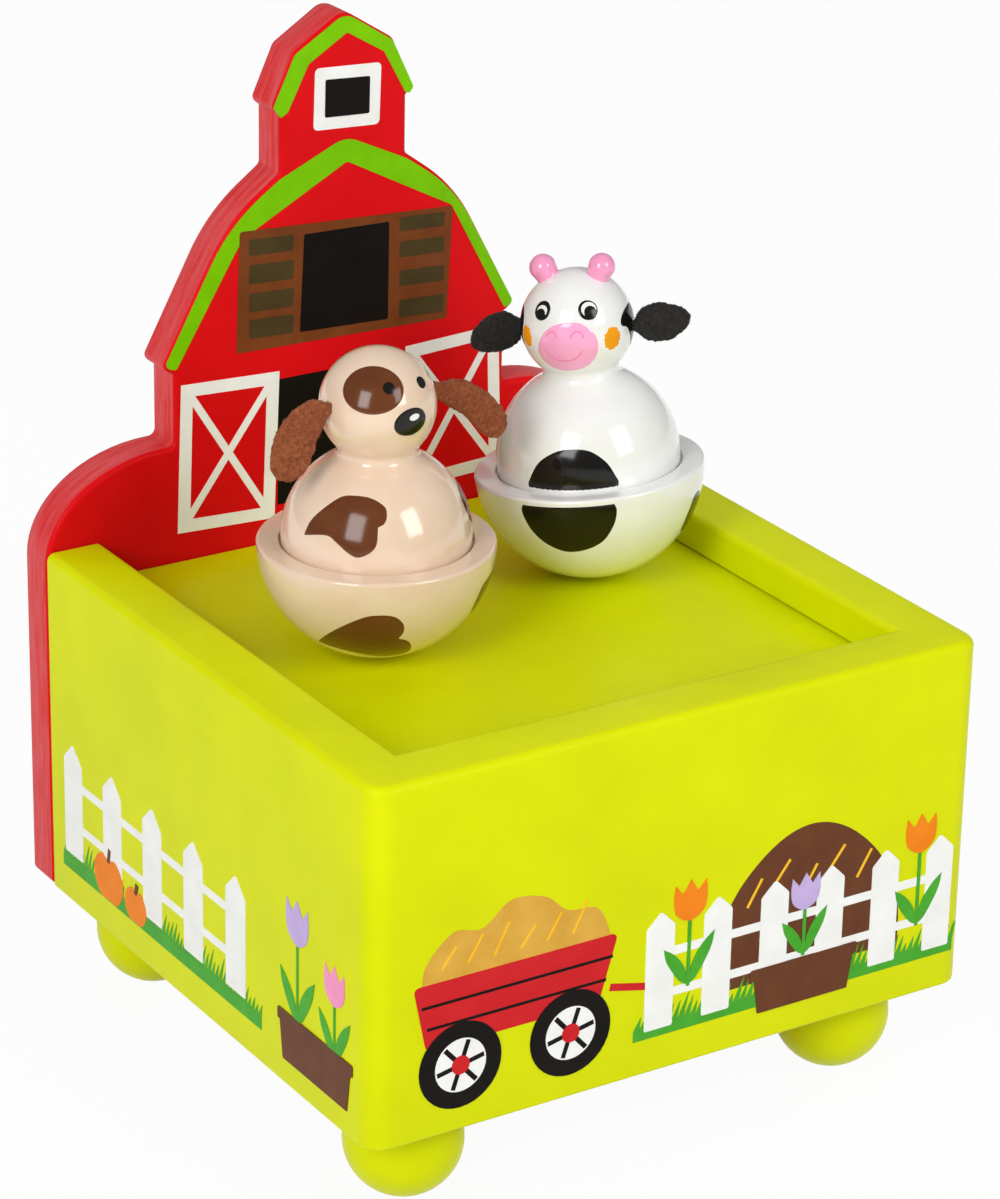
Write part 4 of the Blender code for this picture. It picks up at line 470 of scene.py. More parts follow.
makePiece("boxWalls", [boxShell(boxSpec)], limeLacquer, "box", ("front_wall", "left_wall", "right_wall"))
print("box walls made")

# Ball feet

footSpec = {"radius": 9.4 * mm, "show": 16.9 * mm, "inset": 14.7 * mm, "flat": 1.5 * mm}


def footProfile(spec):
    # a circle cut level at the top, and barely at the bottom: r = R sin a, z = R - R cos a
    radius = spec["radius"]
    low = math.degrees(math.asin(spec["flat"] / radius))
    high = 180 - math.degrees(math.acos((spec["show"] - radius) / radius))
    angle = np.radians(np.linspace(low, high, 40))
    ball = np.stack([radius * np.sin(angle), radius - radius * np.cos(angle)], axis=-1)
    return np.concatenate([[(0, ball[0, 1])], ball, [(0, ball[-1, 1])]])


footReach = boxSpec["half"] - footSpec["inset"]
for endName, footY in (("front", -footReach), ("back", footReach)):
    for sideName, footX in (("left", -footReach), ("right", footReach)):
        makePiece(f"ballFoot{endName.title()}{sideName.title()}",
                  [turnedSurface(footProfile(footSpec), 72, Matrix.Translation((footX, footY, 0)))],
                  limeLacquer, "box", (f"foot_{endName}_{sideName}",))
print("ball feet made")

# Barn board

barnSpec = {
    "edge": 0.8 * mm, "half": 55.0, "shoulderWide": 22.0, "shoulderRise": 16.3, "barnHalf": 31.4,
    "wallFoot": 73.3, "eave": 87.0, "eaveOut": 2.1, "knee": (21.4, 109.5), "neck": (11.8, 116.5),
    "cupolaEave": 127.5, "cupolaOut": 1.4, "cupolaKnee": (9.2, 136.2), "top": 142.0,
    "soft": 1.2, "kneeShare": 0.58, "cupolaRound": 2.2, "apexRound": 3.0,
}


def kneeRadius(spec):
    # the arc takes a share s of the shorter slope: radius = s * length * tan(half the corner)
    eave = np.array([spec["barnHalf"] + spec["eaveOut"], spec["eave"]])
    down, up = eave - spec["knee"], np.array(spec["neck"]) - spec["knee"]
    half = math.acos(unit(down) @ unit(up)) / 2
    return spec["kneeShare"] * min(np.linalg.norm(down), np.linalg.norm(up)) * math.tan(half)


def barnOutline(spec):
    # right side from the foot to the top, then the same mirrored; sizes in millimetres
    turn = np.radians(np.linspace(0, 90, 17))
    shoulder = np.stack([spec["half"] - spec["shoulderWide"] * (1 - np.cos(turn)),
                         spec["wallFoot"] - spec["shoulderRise"] * (1 - np.sin(turn))], axis=-1)
    soft, barn, neck = spec["soft"], spec["barnHalf"], spec["neck"]
    right = np.concatenate([[(spec["half"], 0)], shoulder, [
        (barn, spec["wallFoot"]), (barn, spec["eave"] - soft), (barn + spec["eaveOut"], spec["eave"]),
        spec["knee"], neck, (neck[0], spec["cupolaEave"] - soft),
        (neck[0] + spec["cupolaOut"], spec["cupolaEave"]), spec["cupolaKnee"]]])
    radii = [soft] + [0] * len(shoulder) + [soft, 0, soft, kneeRadius(spec), soft, 0, soft,
                                            spec["cupolaRound"]]
    corners = np.concatenate([right, [(0, spec["top"])], right[::-1] * np.array([-1, 1])])
    outline = roundCorners(corners, radii + [spec["apexRound"]] + radii[::-1], 10) * mm
    return outline + np.array([0, boxSpec["foot"]])


board = plateSurface(barnOutline(barnSpec), boxSpec["boardFront"], boxSpec["back"], barnSpec["edge"])
makePiece("barnBoard", [board], redLacquer, "box", ("barn_board",))
print("barn board made")

# Paint on the barn board: millimetres from its middle and over the foot of the box


def onBoard(outline, lift):
    # board paint: x across, y just in front of the face, z up
    outline = np.asarray(outline, float) * mm
    return np.stack([outline[:, 0], np.full(len(outline), boxSpec["boardFront"] - lift),
                     outline[:, 1] + boxSpec["foot"]], axis=-1)


def mirroredX(outline):
    return np.asarray(outline, float)[::-1] * np.array([-1, 1])


def band(left, inner):
    # a band between an outer and an inner line, both given from left to right
    return np.concatenate([np.asarray(left, float), np.asarray(inner, float)[::-1]])


def stroke(start, stop, width):
    # a straight bar: both ends moved to each side by half its width
    start, stop = np.asarray(start, float), np.asarray(stop, float)
    along = unit(stop - start)
    side = np.array([-along[1], along[0]]) * width / 2
    return np.array([start + side, start - side, stop - side, stop + side])


barnPaint = {
    "roofOuter": [(-33.2, 87.1), (-21.1, 109.2), (-11.9, 115.6), (0.4, 121.0), (11.9, 115.6),
                  (21.1, 109.2), (33.2, 87.1)],
    "roofInner": [(-31.0, 86.6), (-18.9, 106.6), (0.6, 116.8), (20.6, 106.3), (31.3, 86.6)],
    "roofRadii": [0.9, 29, 10, 5, 10, 29, 0.9, 0.4, 1.5, 1, 8, 0.4],
    "cupolaOuter": [(-13.0, 127.6), (-9.0, 135.9), (0.2, 141.5), (9.0, 135.9), (13.0, 127.6),
                    (12.3, 126.6)],
    "cupolaInner": [(-11.7, 125.8), (-10.4, 126.6), (-6.6, 134.0), (0.5, 138.3), (7.4, 134.2),
                    (11.5, 126.8)],
    "cupolaRadii": [0.5, 2.2, 3, 2.2, 0.5, 0.3, 0.3, 0.6, 0.6, 0.8, 0.3, 0.3],
    "hatch": [(-20.0, 87.4), (-19.3, 108.0), (20.8, 106.1), (19.9, 86.7)],
    "hole": [(-8.2, 89.1), (-7.4, 105.7), (8.6, 105.3), (8.5, 88.5)],
    "slatsLeft": [(-17.7, -9.5), [(89.3, 92.6), (93.8, 97.1), (98.6, 101.9), (103.4, 106.2)]],
    "slatsRight": [(10.6, 19.1), [(88.0, 91.2), (93.5, 96.3), (98.5, 101.3), (103.0, 105.5)]],
    "window": [(-5.7, 122.8), (-5.4, 133.1), (6.9, 132.5), (6.6, 122.2)],
    "pane": [(-3.6, 124.7), (-3.5, 131.0), (4.8, 130.5), (4.7, 124.3)],
    "door": [(-31.1, 58.2), (-30.2, 83.8), (-12.0, 83.0), (-13.0, 57.4)],
    "doorStroke": 2.1, "doorCross": 1.3,
    "opening": [(-12.4, 59.6), (-12.4, 81.6), (12.4, 81.6), (12.4, 59.6)],
    "lift": 0.06 * mm,
    "films": {"roof": 1, "hatch": 1.3, "slats": 1.7, "hole": 1.9, "opening": 0.6, "pane": 1.6,
              "window": 0.9, "door": (1, 1, 1, 1, 1.2, 1.4)},    # lifts; bars that cross lie apart
    "rounds": {"hatch": 0.5, "slats": 0.3, "hole": 0.3, "pane": 0.3, "window": 0.8},
    "slatCut": [(0, 0.3), (0.1, 0.2), (0.2, -0.2), (0, -0.1)],    # each corner off its rectangle
}


def roundedPatch(corners, radius):
    return roundCorners(corners, [radius] * len(corners), 4)


def doorPaint(corners, frameWidth, crossWidth):
    # frame of four bars along the door's edges and two bars across it, in millimetres
    corners = np.asarray(corners, float)
    middle = corners.mean(axis=0)
    inner = middle + (corners - middle) * (1 - frameWidth / np.abs(corners - middle).min(axis=0))
    bars = [np.array([corners[i], corners[(i + 1) % 4], inner[(i + 1) % 4], inner[i]]) for i in range(4)]
    reach = middle + (corners - middle) * (1 - frameWidth / 2 / np.abs(corners - middle).min(axis=0))
    return bars + [stroke(reach[0], reach[2], crossWidth), stroke(reach[1], reach[3], crossWidth)]


def boardPatch(word, outline):
    # a film on the board: its corners are rounded and its height is so many lifts
    radius = barnPaint["rounds"].get(word)
    outline = roundedPatch(outline, radius) if radius else outline
    return flatPatch(outline, onBoard, barnPaint["films"][word] * barnPaint["lift"])


roof = roundCorners(band(barnPaint["roofOuter"], barnPaint["roofInner"]), barnPaint["roofRadii"], 8)
cupola = roundCorners(band(barnPaint["cupolaOuter"], barnPaint["cupolaInner"]), barnPaint["cupolaRadii"], 8)
makePiece("roofLines", [boardPatch("roof", line) for line in (roof, cupola)], leafPaint)
makePiece("hayloftHatch", [boardPatch("hatch", barnPaint["hatch"])], slatPaint)
slats = [np.array([(x0, z0), (x0, z1), (x1, z1), (x1, z0)]) + barnPaint["slatCut"]
         for (x0, x1), levels in (barnPaint["slatsLeft"], barnPaint["slatsRight"]) for z0, z1 in levels]
makePiece("hatchSlats", [boardPatch("slats", slat) for slat in slats], olivePaint)
makePiece("darkOpenings", [boardPatch(word, barnPaint[word]) for word in ("hole", "opening", "pane")],
          blackPaint)
makePiece("atticFrame", [boardPatch("window", barnPaint["window"])], whitePaint)
doors = doorPaint(barnPaint["door"], barnPaint["doorStroke"], barnPaint["doorCross"])
makePiece("barnDoors", [flatPatch(bar, onBoard, high * barnPaint["lift"])
                        for side in (doors, [mirroredX(bar) for bar in doors])
                        for bar, high in zip(side, barnPaint["films"]["door"])], whitePaint)
print("barn paint made")

# Turned figures


def figureMatrix(jointName, facing):
    # stands at the joint's place, leans with its axis and faces -Y turned by facing degrees
    joint = next(j for j in frame["joints"] if j["name"] == jointName)
    lean = Vector((0, 0, 1)).rotation_difference(Vector(joint["axis"])).to_matrix().to_4x4()
    return Matrix.Translation(joint["pos_m"]) @ lean @ Matrix.Rotation(math.radians(facing), 4, "Z")


figureSpecs = {
    "dog": {"joint": "dog_spin", "facing": 4.0, "headHeight": 22.05 * mm, "domeRaise": 0.5 * mm,
            "cove": 1.2 * mm, "finish": beigeGloss, "slot": "beige_lacquer"},
    "cow": {"joint": "cow_spin", "facing": -46.0, "headHeight": 23.6 * mm, "domeRaise": 1.8 * mm,
            "cove": 1.2 * mm, "finish": whiteGloss, "slot": "white_lacquer"},
}
turnedSizes = {
    "bowl": 18.7 * mm, "dome": 14.9 * mm, "head": 9.1 * mm, "ledge": 0.7 * mm, "rimRound": 0.5 * mm,
    "neck": 6.2 * mm, "seatGap": 0.3 * mm, "seatEdge": 0.15 * mm,
}


def bowlProfile(sizes):
    # a half ball whose rim turns over on a small radius to a level ledge with a shallow seat
    radius, rim, edge = sizes["bowl"], sizes["rimRound"], sizes["seatEdge"]
    seat = sizes["dome"] + sizes["seatGap"]
    stop = 90 - math.degrees(rim / radius)
    angle = np.radians(np.linspace(0, stop, 48))
    outer = np.stack([radius * np.sin(angle), -radius * np.cos(angle)], axis=-1)
    return np.concatenate([outer, arcPoints((radius - rim, -rim), rim, 0, 90, 7),
                           [(seat + edge, 0), (seat, -edge), (seat, -sizes["ledge"]), (0, -sizes["ledge"])]])


def domeReach(rise, raised):
    # distance of the dome's skin from the figure's origin: a ball whose centre is raised by c,
    # so c sin(rise) + sqrt(R^2 - (c cos(rise))^2)
    return raised * np.sin(rise) + np.sqrt(turnedSizes["dome"] ** 2 - (raised * np.cos(rise)) ** 2)


def domeProfile(sizes, spec):
    # the dome's ball, a neck, and the coves that join it to the dome and to the head's ball: each
    # cove's centre lies its radius off the neck and off the ball that it touches
    raised, radius, cove, headHeight = spec["domeRaise"], sizes["dome"], spec["cove"], spec["headHeight"]
    out = sizes["neck"] + cove
    low = raised + math.sqrt((radius + cove) ** 2 - out**2)
    high = headHeight - math.sqrt((sizes["head"] + cove) ** 2 - out**2)
    end = math.atan2(low - raised, out)
    angle = np.linspace(0, end, 56)
    ball = np.stack([radius * np.cos(angle), raised + radius * np.sin(angle)], axis=-1)
    lowCove = arcPoints((out, low), cove, 180 + math.degrees(end), 180, 12)
    stop = 180 - math.degrees(math.atan2(headHeight - high, out))
    highCove = arcPoints((out, high), cove, 180, stop, 12)
    inside = highCove[-1] + cove * unit(np.array([0.0, headHeight]) - highCove[-1])
    foot = -sizes["ledge"] + sizes["seatGap"]
    return np.concatenate([[(0, foot), (sizes["dome"], foot)], ball, lowCove[1:], highCove,
                           [inside, (0, inside[1])]])


def ballProfile(radius):
    angle = np.radians(np.linspace(0, 180, 49))
    return np.stack([radius * np.sin(angle), -radius * np.cos(angle)], axis=-1)


for name, spec in figureSpecs.items():
    spec["matrix"] = figureMatrix(spec["joint"], spec["facing"])
    spec["headMatrix"] = spec["matrix"] @ Matrix.Translation((0, 0, spec["headHeight"]))
    shapes = {"bowl": (bowlProfile(turnedSizes), 96, spec["matrix"]),
              "dome": (domeProfile(turnedSizes, spec), 96, spec["matrix"]),
              "head": (ballProfile(turnedSizes["head"]), 80, spec["headMatrix"])}
    for part, shape in shapes.items():
        makePiece(f"{name}{part.title()}", [turnedSurface(*shape)], spec["finish"], name,
                  (f"{name}_{part}",))
print("turned bodies made")

# Paint on the balls: each spot is given in degrees of turn from the face and of rise


def spotDirections(outline):
    # direction of (turn, rise): (sin t cos e, -cos t cos e, sin e)
    turn, rise = np.radians(np.asarray(outline, float)).T
    return np.stack([np.sin(turn) * np.cos(rise), -np.cos(turn) * np.cos(rise), np.sin(rise)], axis=-1)


def ballPatch(rim, reach, matrix, lift=0.05 * mm, rings=14):
    # paint on a turned body: rays between the spot's middle and its rim, drawn out to the skin
    # plus the lift, and closed by the same rays a little under the skin. reach is the skin's
    # distance, or a function of the rise that gives it
    middle = unit(rim.mean(axis=0))
    share = np.linspace(0, 1, rings)[:, None, None]
    rays = unit(middle[None, None] * (1 - share) + rim[None] * share)
    skin = reach(np.arcsin(rays[..., 2:])) if callable(reach) else reach
    over = skin + lift * np.sqrt(np.clip((1 - share) / 0.04, 0, 1))
    points = np.concatenate([rays * over, (rays * (skin - 0.12 * mm))[::-1]])
    surface, faces = gridSurface(points)
    return moved(surface, matrix), faces


def outlinedSpot(points, corners=(), steps=8):
    # rim of a free-form spot: a curve through its points of (turn, rise)
    return spotDirections(throughPoints(points, steps, corners=corners))


def ovalSpot(turn, rise, wide, high, tilt=0.0, count=48):
    # rim of an oval, wide by high degrees, drawn on the plane that touches the ball at its
    # middle: middle + tan(wide / 2) cos a * east + tan(high / 2) sin a * north
    middle = spotDirections([(turn, rise)])[0]
    east = unit(np.array([-middle[1], middle[0], 0.0]))
    north = np.cross(middle, east)
    angle, slant = np.radians(np.linspace(0, 360, count, endpoint=False)), math.radians(tilt)
    a = math.tan(math.radians(wide / 2)) * np.cos(angle)
    b = math.tan(math.radians(high / 2)) * np.sin(angle)
    x, y = a * math.cos(slant) - b * math.sin(slant), a * math.sin(slant) + b * math.cos(slant)
    return unit(middle + x[:, None] * east + y[:, None] * north)


def dabbedRim(rim, share):
    # edge of paint put on with a sponge: each point's distance from the spot's middle grows by
    # share * (sin 7a + sin 11a + sin 17a) / 3
    middle = unit(rim.mean(axis=0))
    angle = np.linspace(0, 2 * np.pi, len(rim), endpoint=False)[:, None]
    waves = (np.sin(7 * angle + 1) + np.sin(11 * angle + 4) + np.sin(17 * angle)) / 3
    return unit(middle + (rim - middle) * (1 + share * waves))


filmSpec = {    # height of each paint over the wood: what lies on other paint stands higher
    "spot": 0.05 * mm, "muzzle": 0.10 * mm, "line": 0.16 * mm, "dogEye": 0.12 * mm, "nose": 0.22 * mm,
    "glint": 0.30 * mm, "eyeRims": 0.06 * mm, "eyeWhites": 0.10 * mm, "pupils": 0.14 * mm,
}


def figurePaint(body, part, rims, film="spot"):
    # spots on the bowl, dome or head of one figure
    spec = figureSpecs[body]
    reach = (lambda rise: domeReach(rise, spec["domeRaise"])) if part == "dome" else turnedSizes[part]
    matrix = spec["headMatrix" if part == "head" else "matrix"]
    return [ballPatch(rim, reach, matrix, filmSpec[film]) for rim in rims]


dogSpots = {
    "eyePatch": (-41, 35, 61, 49.5),
    "heart": [(-85, 16), (-82, 26), (-74, 36), (-64, 44), (-52, 46), (-39, 45), (-29, 40),
              (-28, 34), (-30, 30), (-34, 28), (-35, 18), (-39, 13), (-46, 10),
              (-52, 12), (-60, 17), (-68, 20)],
    "bowlHeart": [(-78, -46), (-56, -28), (-42, -19), (-34, -17), (-26, -18), (-21, -23),
                  (-20, -29), (-22, -34), (-16, -37), (-11, -44), (-10, -52), (-21, -56),
                  (-36, -55), (-55, -50)],
    "sideSpot": [(48, 33), (44, 27), (45, 19), (50, 12), (58, 7), (69, 9), (76, 17), (75, 28), (66, 36),
                 (56, 36)],
    "bowlSide": [(30, -14), (28, -19), (28, -26), (34, -34), (47, -37), (58, -29), (57, -17), (47, -12),
                 (38, -12)],
    "eyes": [(-22, 35.5, 12, 12.5), (25, 33.5, 12, 12.5)], "nose": (-0.5, -0.5, 37, 27.5, 8),
    "glint": (2, 4.5, 12, 6.5, 8),
}
makePiece("dogSpots", figurePaint("dog", "head", [ovalSpot(*dogSpots["eyePatch"])])
          + figurePaint("dog", "dome", [outlinedSpot(dogSpots["heart"], (0, 9)),
                                        outlinedSpot(dogSpots["sideSpot"])])
          + figurePaint("dog", "bowl", [outlinedSpot(dogSpots["bowlHeart"], (0, 7)),
                                        outlinedSpot(dogSpots["bowlSide"])]), spotBrown, "dog")
makePiece("dogEyesAndNose", figurePaint("dog", "head", [ovalSpot(*eye) for eye in dogSpots["eyes"]], "dogEye")
          + figurePaint("dog", "head", [ovalSpot(*dogSpots["nose"])], "nose"), spotBlack, "dog")
makePiece("dogNoseGlint", figurePaint("dog", "head", [ovalSpot(*dogSpots["glint"])], "glint"), whiteGloss,
          "dog")

cowSpots = {
    "muzzle": [(-32, -10), (-25, 4), (-15, 13), (-5, 17), (5, 18), (16, 17), (25, 11),
               (32, 2), (34, -10), (31, -22), (22, -32), (9, -37), (-4, -38),
               (-19, -35), (-29, -27), (-33, -18)],
    "bowlDisc": [(-22, -3), (-23, -6), (-22, -11), (-19, -18), (-13, -25), (-3, -30), (8, -29),
                 (18, -24), (24, -15), (26, -7), (25, -3), (14, -3), (2, -3), (-10, -3)],
    "domeDisc": [(-30, 0), (-25, 9), (-20, 17), (-14, 22), (-5, 26), (5, 27), (16, 25),
                 (25, 18), (30, 9), (34, 0), (21, -1), (8, -1), (-5, -1), (-18, -1)],
    "bowlSide": [(79, -14), (77, -18), (75, -23), (75, -28), (76, -33), (81, -36), (90, -34), (94, -26),
                 (91, -17), (85, -13)],
    "earRight": [(64, 8), (68, 14), (79, 19), (97, 20), (107, 8), (109, -8), (104, -22), (95, -27),
                 (86, -18), (79, -7), (73, 1), (66, 4)],
    "earLeft": [(-62, -4), (-58, 13), (-66, 23), (-84, 25), (-102, 16), (-110, 0), (-104, -18), (-88, -24),
                (-72, -18)],
    "nostrils": [[(-19, 3), (-17, 7), (-12, 9), (-9, 7), (-7, 3)],
                 [(6, 3), (9, 7), (13, 9), (18, 6), (19, 2)]],
    "smile": [(-22, -10), (-16, -18), (-8, -22), (4, -22), (12, -18), (17, -12)],
    "eyeRims": [(-28, 29, 19.5, 20.5), (28, 29, 20, 20.5)],
    "eyeWhites": [(-28, 28.5, 13.5, 12.5), (29, 29.5, 16.5, 16)],
    "pupils": [(-29, 25, 12.5, 12), (30, 26, 13.5, 14.5)],
    "cheeks": [(-49.5, -1, 18, 22), (51, -5, 20, 24)], "cheekDabs": 0.11, "strokeWidth": 2.0,
}
makePiece("cowSpots", figurePaint("cow", "bowl", [outlinedSpot(cowSpots["bowlDisc"], (0, 10)),
                                                  outlinedSpot(cowSpots["bowlSide"])])
          + figurePaint("cow", "dome", [outlinedSpot(cowSpots["domeDisc"], (0, 9))])
          + figurePaint("cow", "head", [outlinedSpot(cowSpots["earRight"]),
                                        outlinedSpot(cowSpots["earLeft"])]), spotBlack, "cow")
makePiece("cowMuzzle", figurePaint("cow", "head", [outlinedSpot(cowSpots["muzzle"])], "muzzle"), muzzlePink,
          "cow")


def ballStroke(path, width, radius, matrix, lift, sink=0.1 * mm, count=24):
    # a painted line on a ball: its path in degrees, widened by half its width on each side, less
    # towards its ends
    line = throughPoints(path, count, closed=False)
    along = unit(np.gradient(line, axis=0))
    travel = np.linspace(0, 8, len(line))
    fade = np.sqrt(np.clip(np.minimum(travel, 8 - travel), 0.05, 1))[:, None]
    side = np.stack([-along[:, 1], along[:, 0]], axis=-1) * width / 2 * fade
    across = np.array([-1.0, -0.5, 0.5, 1.0])[None, :, None]
    spots = (line[:, None] + side[:, None] * across).reshape(-1, 2)
    directions = spotDirections(spots).reshape(len(line), 4, 3)
    heights = np.array([radius - sink, radius + lift, radius + lift, radius - sink])[None, :, None]
    surface, faces = gridSurface(directions * heights, capEnds=True)
    return moved(surface, matrix), faces


head, cowHead = turnedSizes["head"], figureSpecs["cow"]["headMatrix"]
makePiece("cowNostrilsAndSmile", [ballStroke(path, cowSpots["strokeWidth"], head, cowHead, filmSpec["line"])
                                  for path in (*cowSpots["nostrils"], cowSpots["smile"])], rosePaint, "cow")
eyePaints = [("cowEyeRims", "eyeRims", spotBlack), ("cowEyeWhites", "eyeWhites", whiteGloss),
             ("cowPupils", "pupils", spotBlack)]
for pieceName, word, paint in eyePaints:
    ovals = [ovalSpot(*oval) for oval in cowSpots[word]]
    makePiece(pieceName, figurePaint("cow", "head", ovals, word), paint, "cow")
cheeks = [dabbedRim(ovalSpot(*oval, count=120), cowSpots["cheekDabs"]) for oval in cowSpots["cheeks"]]
makePiece("cowCheeks", figurePaint("cow", "head", cheeks), cheekPaint, "cow")
print("paint on the figures made")

# Horns

hornSpec = {"radius": 2.2 * mm, "base": 1.95 * mm, "rise": 1.2 * mm, "waist": -0.1 * mm,
            "root": -0.8 * mm, "seat": 0.3 * mm, "splay": 27.0, "sweep": -2.0}


def hornProfile(spec):
    # a round top on flanks that narrow a little down to a base inside the head
    angle = np.radians(np.linspace(0, 90, 20))
    radius, base, rise = spec["radius"], spec["base"], spec["rise"]
    top = np.stack([radius * np.cos(angle), rise + radius * np.sin(angle)], axis=-1)
    flank = throughPoints([(base, spec["root"]), (base, spec["waist"]), (radius, rise)], 6, closed=False)
    return np.concatenate([[(0, spec["root"])], flank[:-1], top])


for sideName, sign in (("left", -1), ("right", 1)):
    turn = (Matrix.Rotation(math.radians(sign * hornSpec["sweep"]), 4, "Z")
            @ Matrix.Rotation(math.radians(sign * hornSpec["splay"]), 4, "Y"))
    seat = cowHead @ turn @ Matrix.Translation((0, 0, head + hornSpec["seat"]))
    makePiece(f"cowHorn{sideName.title()}", [turnedSurface(hornProfile(hornSpec), 40, seat)], pinkGloss,
              "cow", (f"cow_horn_{sideName}",))
print("horns made")

# Felt ears

earSpecs = {    # drops in degrees at root and tip; shares of the width from root to tip
    "dog": {"finish": brownFelt, "slot": "brown_felt", "fibres": 900,
            "left": {"drops": (5, 106), "length": 14.1 * mm, "width": 7.8 * mm, "rise": 1.3 * mm,
                     "gap": -0.15 * mm, "shares": (0.20, 0.60, 0.80, 0.90, 1.00, 0.95, 0.85, 0.45)},
            "right": {"drops": (14, 66), "length": 15.6 * mm, "width": 5.4 * mm, "rise": -0.1 * mm,
                      "gap": 2.3 * mm, "shares": (0.45, 0.75, 0.90, 0.90, 0.95, 0.95, 0.90, 0.55)}},
    "cow": {"finish": blackFelt, "slot": "black_felt", "fibres": 600,
            "left": {"drops": (20, 26), "length": 9.1 * mm, "width": 6.2 * mm, "rise": 0.2 * mm,
                     "gap": 0.2 * mm, "shares": (0.25, 0.80, 0.95, 1.00, 0.95, 0.80, 0.60, 0.20)},
            "right": {"drops": (-7, -14), "length": 9.6 * mm, "width": 6.3 * mm, "rise": -0.5 * mm,
                      "gap": 0.2 * mm, "shares": (0.25, 0.75, 0.95, 1.00, 1.00, 0.80, 0.60, 0.20)}},
}
feltSpec = {"thickness": 1.5 * mm, "cup": 0.6 * mm, "lumps": 0.08 * mm, "lumpSize": 1.6 * mm,
            "tipShare": 0.07, "rootShare": 0.13, "fibreLength": 0.42 * mm, "fibreWidth": 0.04 * mm,
            "fibreRoot": 0.1 * mm, "fibreSpread": (0.4, 1.3), "fibreRings": (0.0, 0.45, 1.0),
            "fibreTaper": (1.0, 0.8, 0.15), "fibreBow": 0.35, "fibreLean": 0.75}


def earSurface(side, spec):
    # a leaf: the angle of its middle line turns evenly from the root's drop a to the tip's, so a
    # point at t lies at (sin(a + k t) - sin a, cos(a + k t) - cos a) / k of the length, straight on
    # before t = 0; it curls forward with t squared. The half width follows the shares and ends
    # round, and the section is a slab (cos^0.75, sin^0.5)
    sign = {"left": -1, "right": 1}[side]
    rootDrop, tipDrop = np.radians(spec["drops"])
    travel = np.linspace(-feltSpec["rootShare"], 1.0, 66)
    turn = tipDrop - rootDrop
    slope = rootDrop + turn * np.maximum(travel, 0)
    curved = np.stack([sign * (np.sin(slope) - math.sin(rootDrop)), 0 * slope,
                       np.cos(slope) - math.cos(rootDrop)], axis=-1) / turn
    straight = np.array([sign * math.cos(rootDrop), 0, -math.sin(rootDrop)]) * travel[:, None]
    spine = np.where(travel[:, None] < 0, straight, curved)
    across = np.stack([sign * np.sin(slope), 0 * slope, np.cos(slope)], axis=-1)
    widths = throughPoints(np.array(spec["shares"])[:, None], 10, closed=False)[:, 0]
    tip = np.sqrt(np.clip((1 - travel) / feltSpec["tipShare"], 0, 1))
    half = np.interp(travel, np.linspace(0, 1, len(widths)), widths) * spec["width"] / 2 * tip
    middle = (np.array([sign * (head + spec["gap"]), 0, spec["rise"]]) + spine * spec["length"]
              - np.array([0, 1, 0]) * (feltSpec["cup"] * travel * np.abs(travel))[:, None])
    angle = np.linspace(0, 2 * np.pi, 56, endpoint=False)
    wide = np.sign(np.cos(angle)) * np.abs(np.cos(angle)) ** 0.75
    thick = np.sign(np.sin(angle)) * np.abs(np.sin(angle)) ** 0.5
    slab = feltSpec["thickness"] / 2 * np.minimum(1, 0.25 + tip)
    return (middle[:, None] + across[:, None] * (half[:, None] * wide)[..., None]
            + np.array([0, 1.0, 0]) * (slab[:, None] * thick)[..., None])


def lumpy(grid, depth, size):
    # matted surface: each point moves along its normal by a sum of slanted sine waves
    du, dv = np.gradient(grid, axis=0), (np.roll(grid, -1, axis=1) - np.roll(grid, 1, axis=1)) / 2
    normal = unit(np.cross(dv, du))
    waves = rng.normal(size=(9, 3)) * (2 * np.pi / size)
    height = np.sin(grid @ waves.T + rng.uniform(0, 6.28, 9)).sum(axis=-1) / 3
    return grid + normal * (height * depth)[..., None], normal


def fibreSurface(grid, normal, count, spec):
    # fuzz: thin three-sided spikes from random points: at t of its length a spike has risen by
    # t - bow t^2 and leans aside by lean t^1.5
    rows = rng.integers(2, grid.shape[0] - 1, count)
    cols = rng.integers(0, grid.shape[1], count)
    root, out = grid[rows, cols], normal[rows, cols]
    aside = unit(np.cross(out, rng.normal(size=(count, 3))))
    length = spec["fibreLength"] * rng.uniform(*spec["fibreSpread"], count)[:, None]
    t = np.array(spec["fibreRings"])[:, None, None]
    rise = out * (t - spec["fibreBow"] * t**2) + aside * spec["fibreLean"] * t**1.5
    spine = root - out * spec["fibreRoot"] + rise * length
    other = unit(np.cross(out, aside))
    angle = np.radians([90, 210, 330])[:, None, None, None]
    width = spec["fibreWidth"] * np.array(spec["fibreTaper"])[None, :, None, None]
    rings = spine[None] + (out[None, None] * np.cos(angle) * 0.5 + aside[None, None] * np.sin(angle)
                           + other[None, None] * np.cos(angle)) * width
    points = rings.transpose(2, 1, 0, 3).reshape(-1, 3)                # fibre, ring, corner
    base = np.arange(count)[:, None, None] * 9
    ring, corner = np.meshgrid(np.arange(2), np.arange(3), indexing="ij")
    here, following = ring * 3 + corner, ring * 3 + (corner + 1) % 3
    quads = np.stack([here, following, following + 3, here + 3], axis=-1).reshape(1, -1, 4) + base
    caps = np.array([[[2, 1, 0], [6, 7, 8]]]) + base
    return points, quads.reshape(-1, 4).tolist() + caps.reshape(-1, 3).tolist()


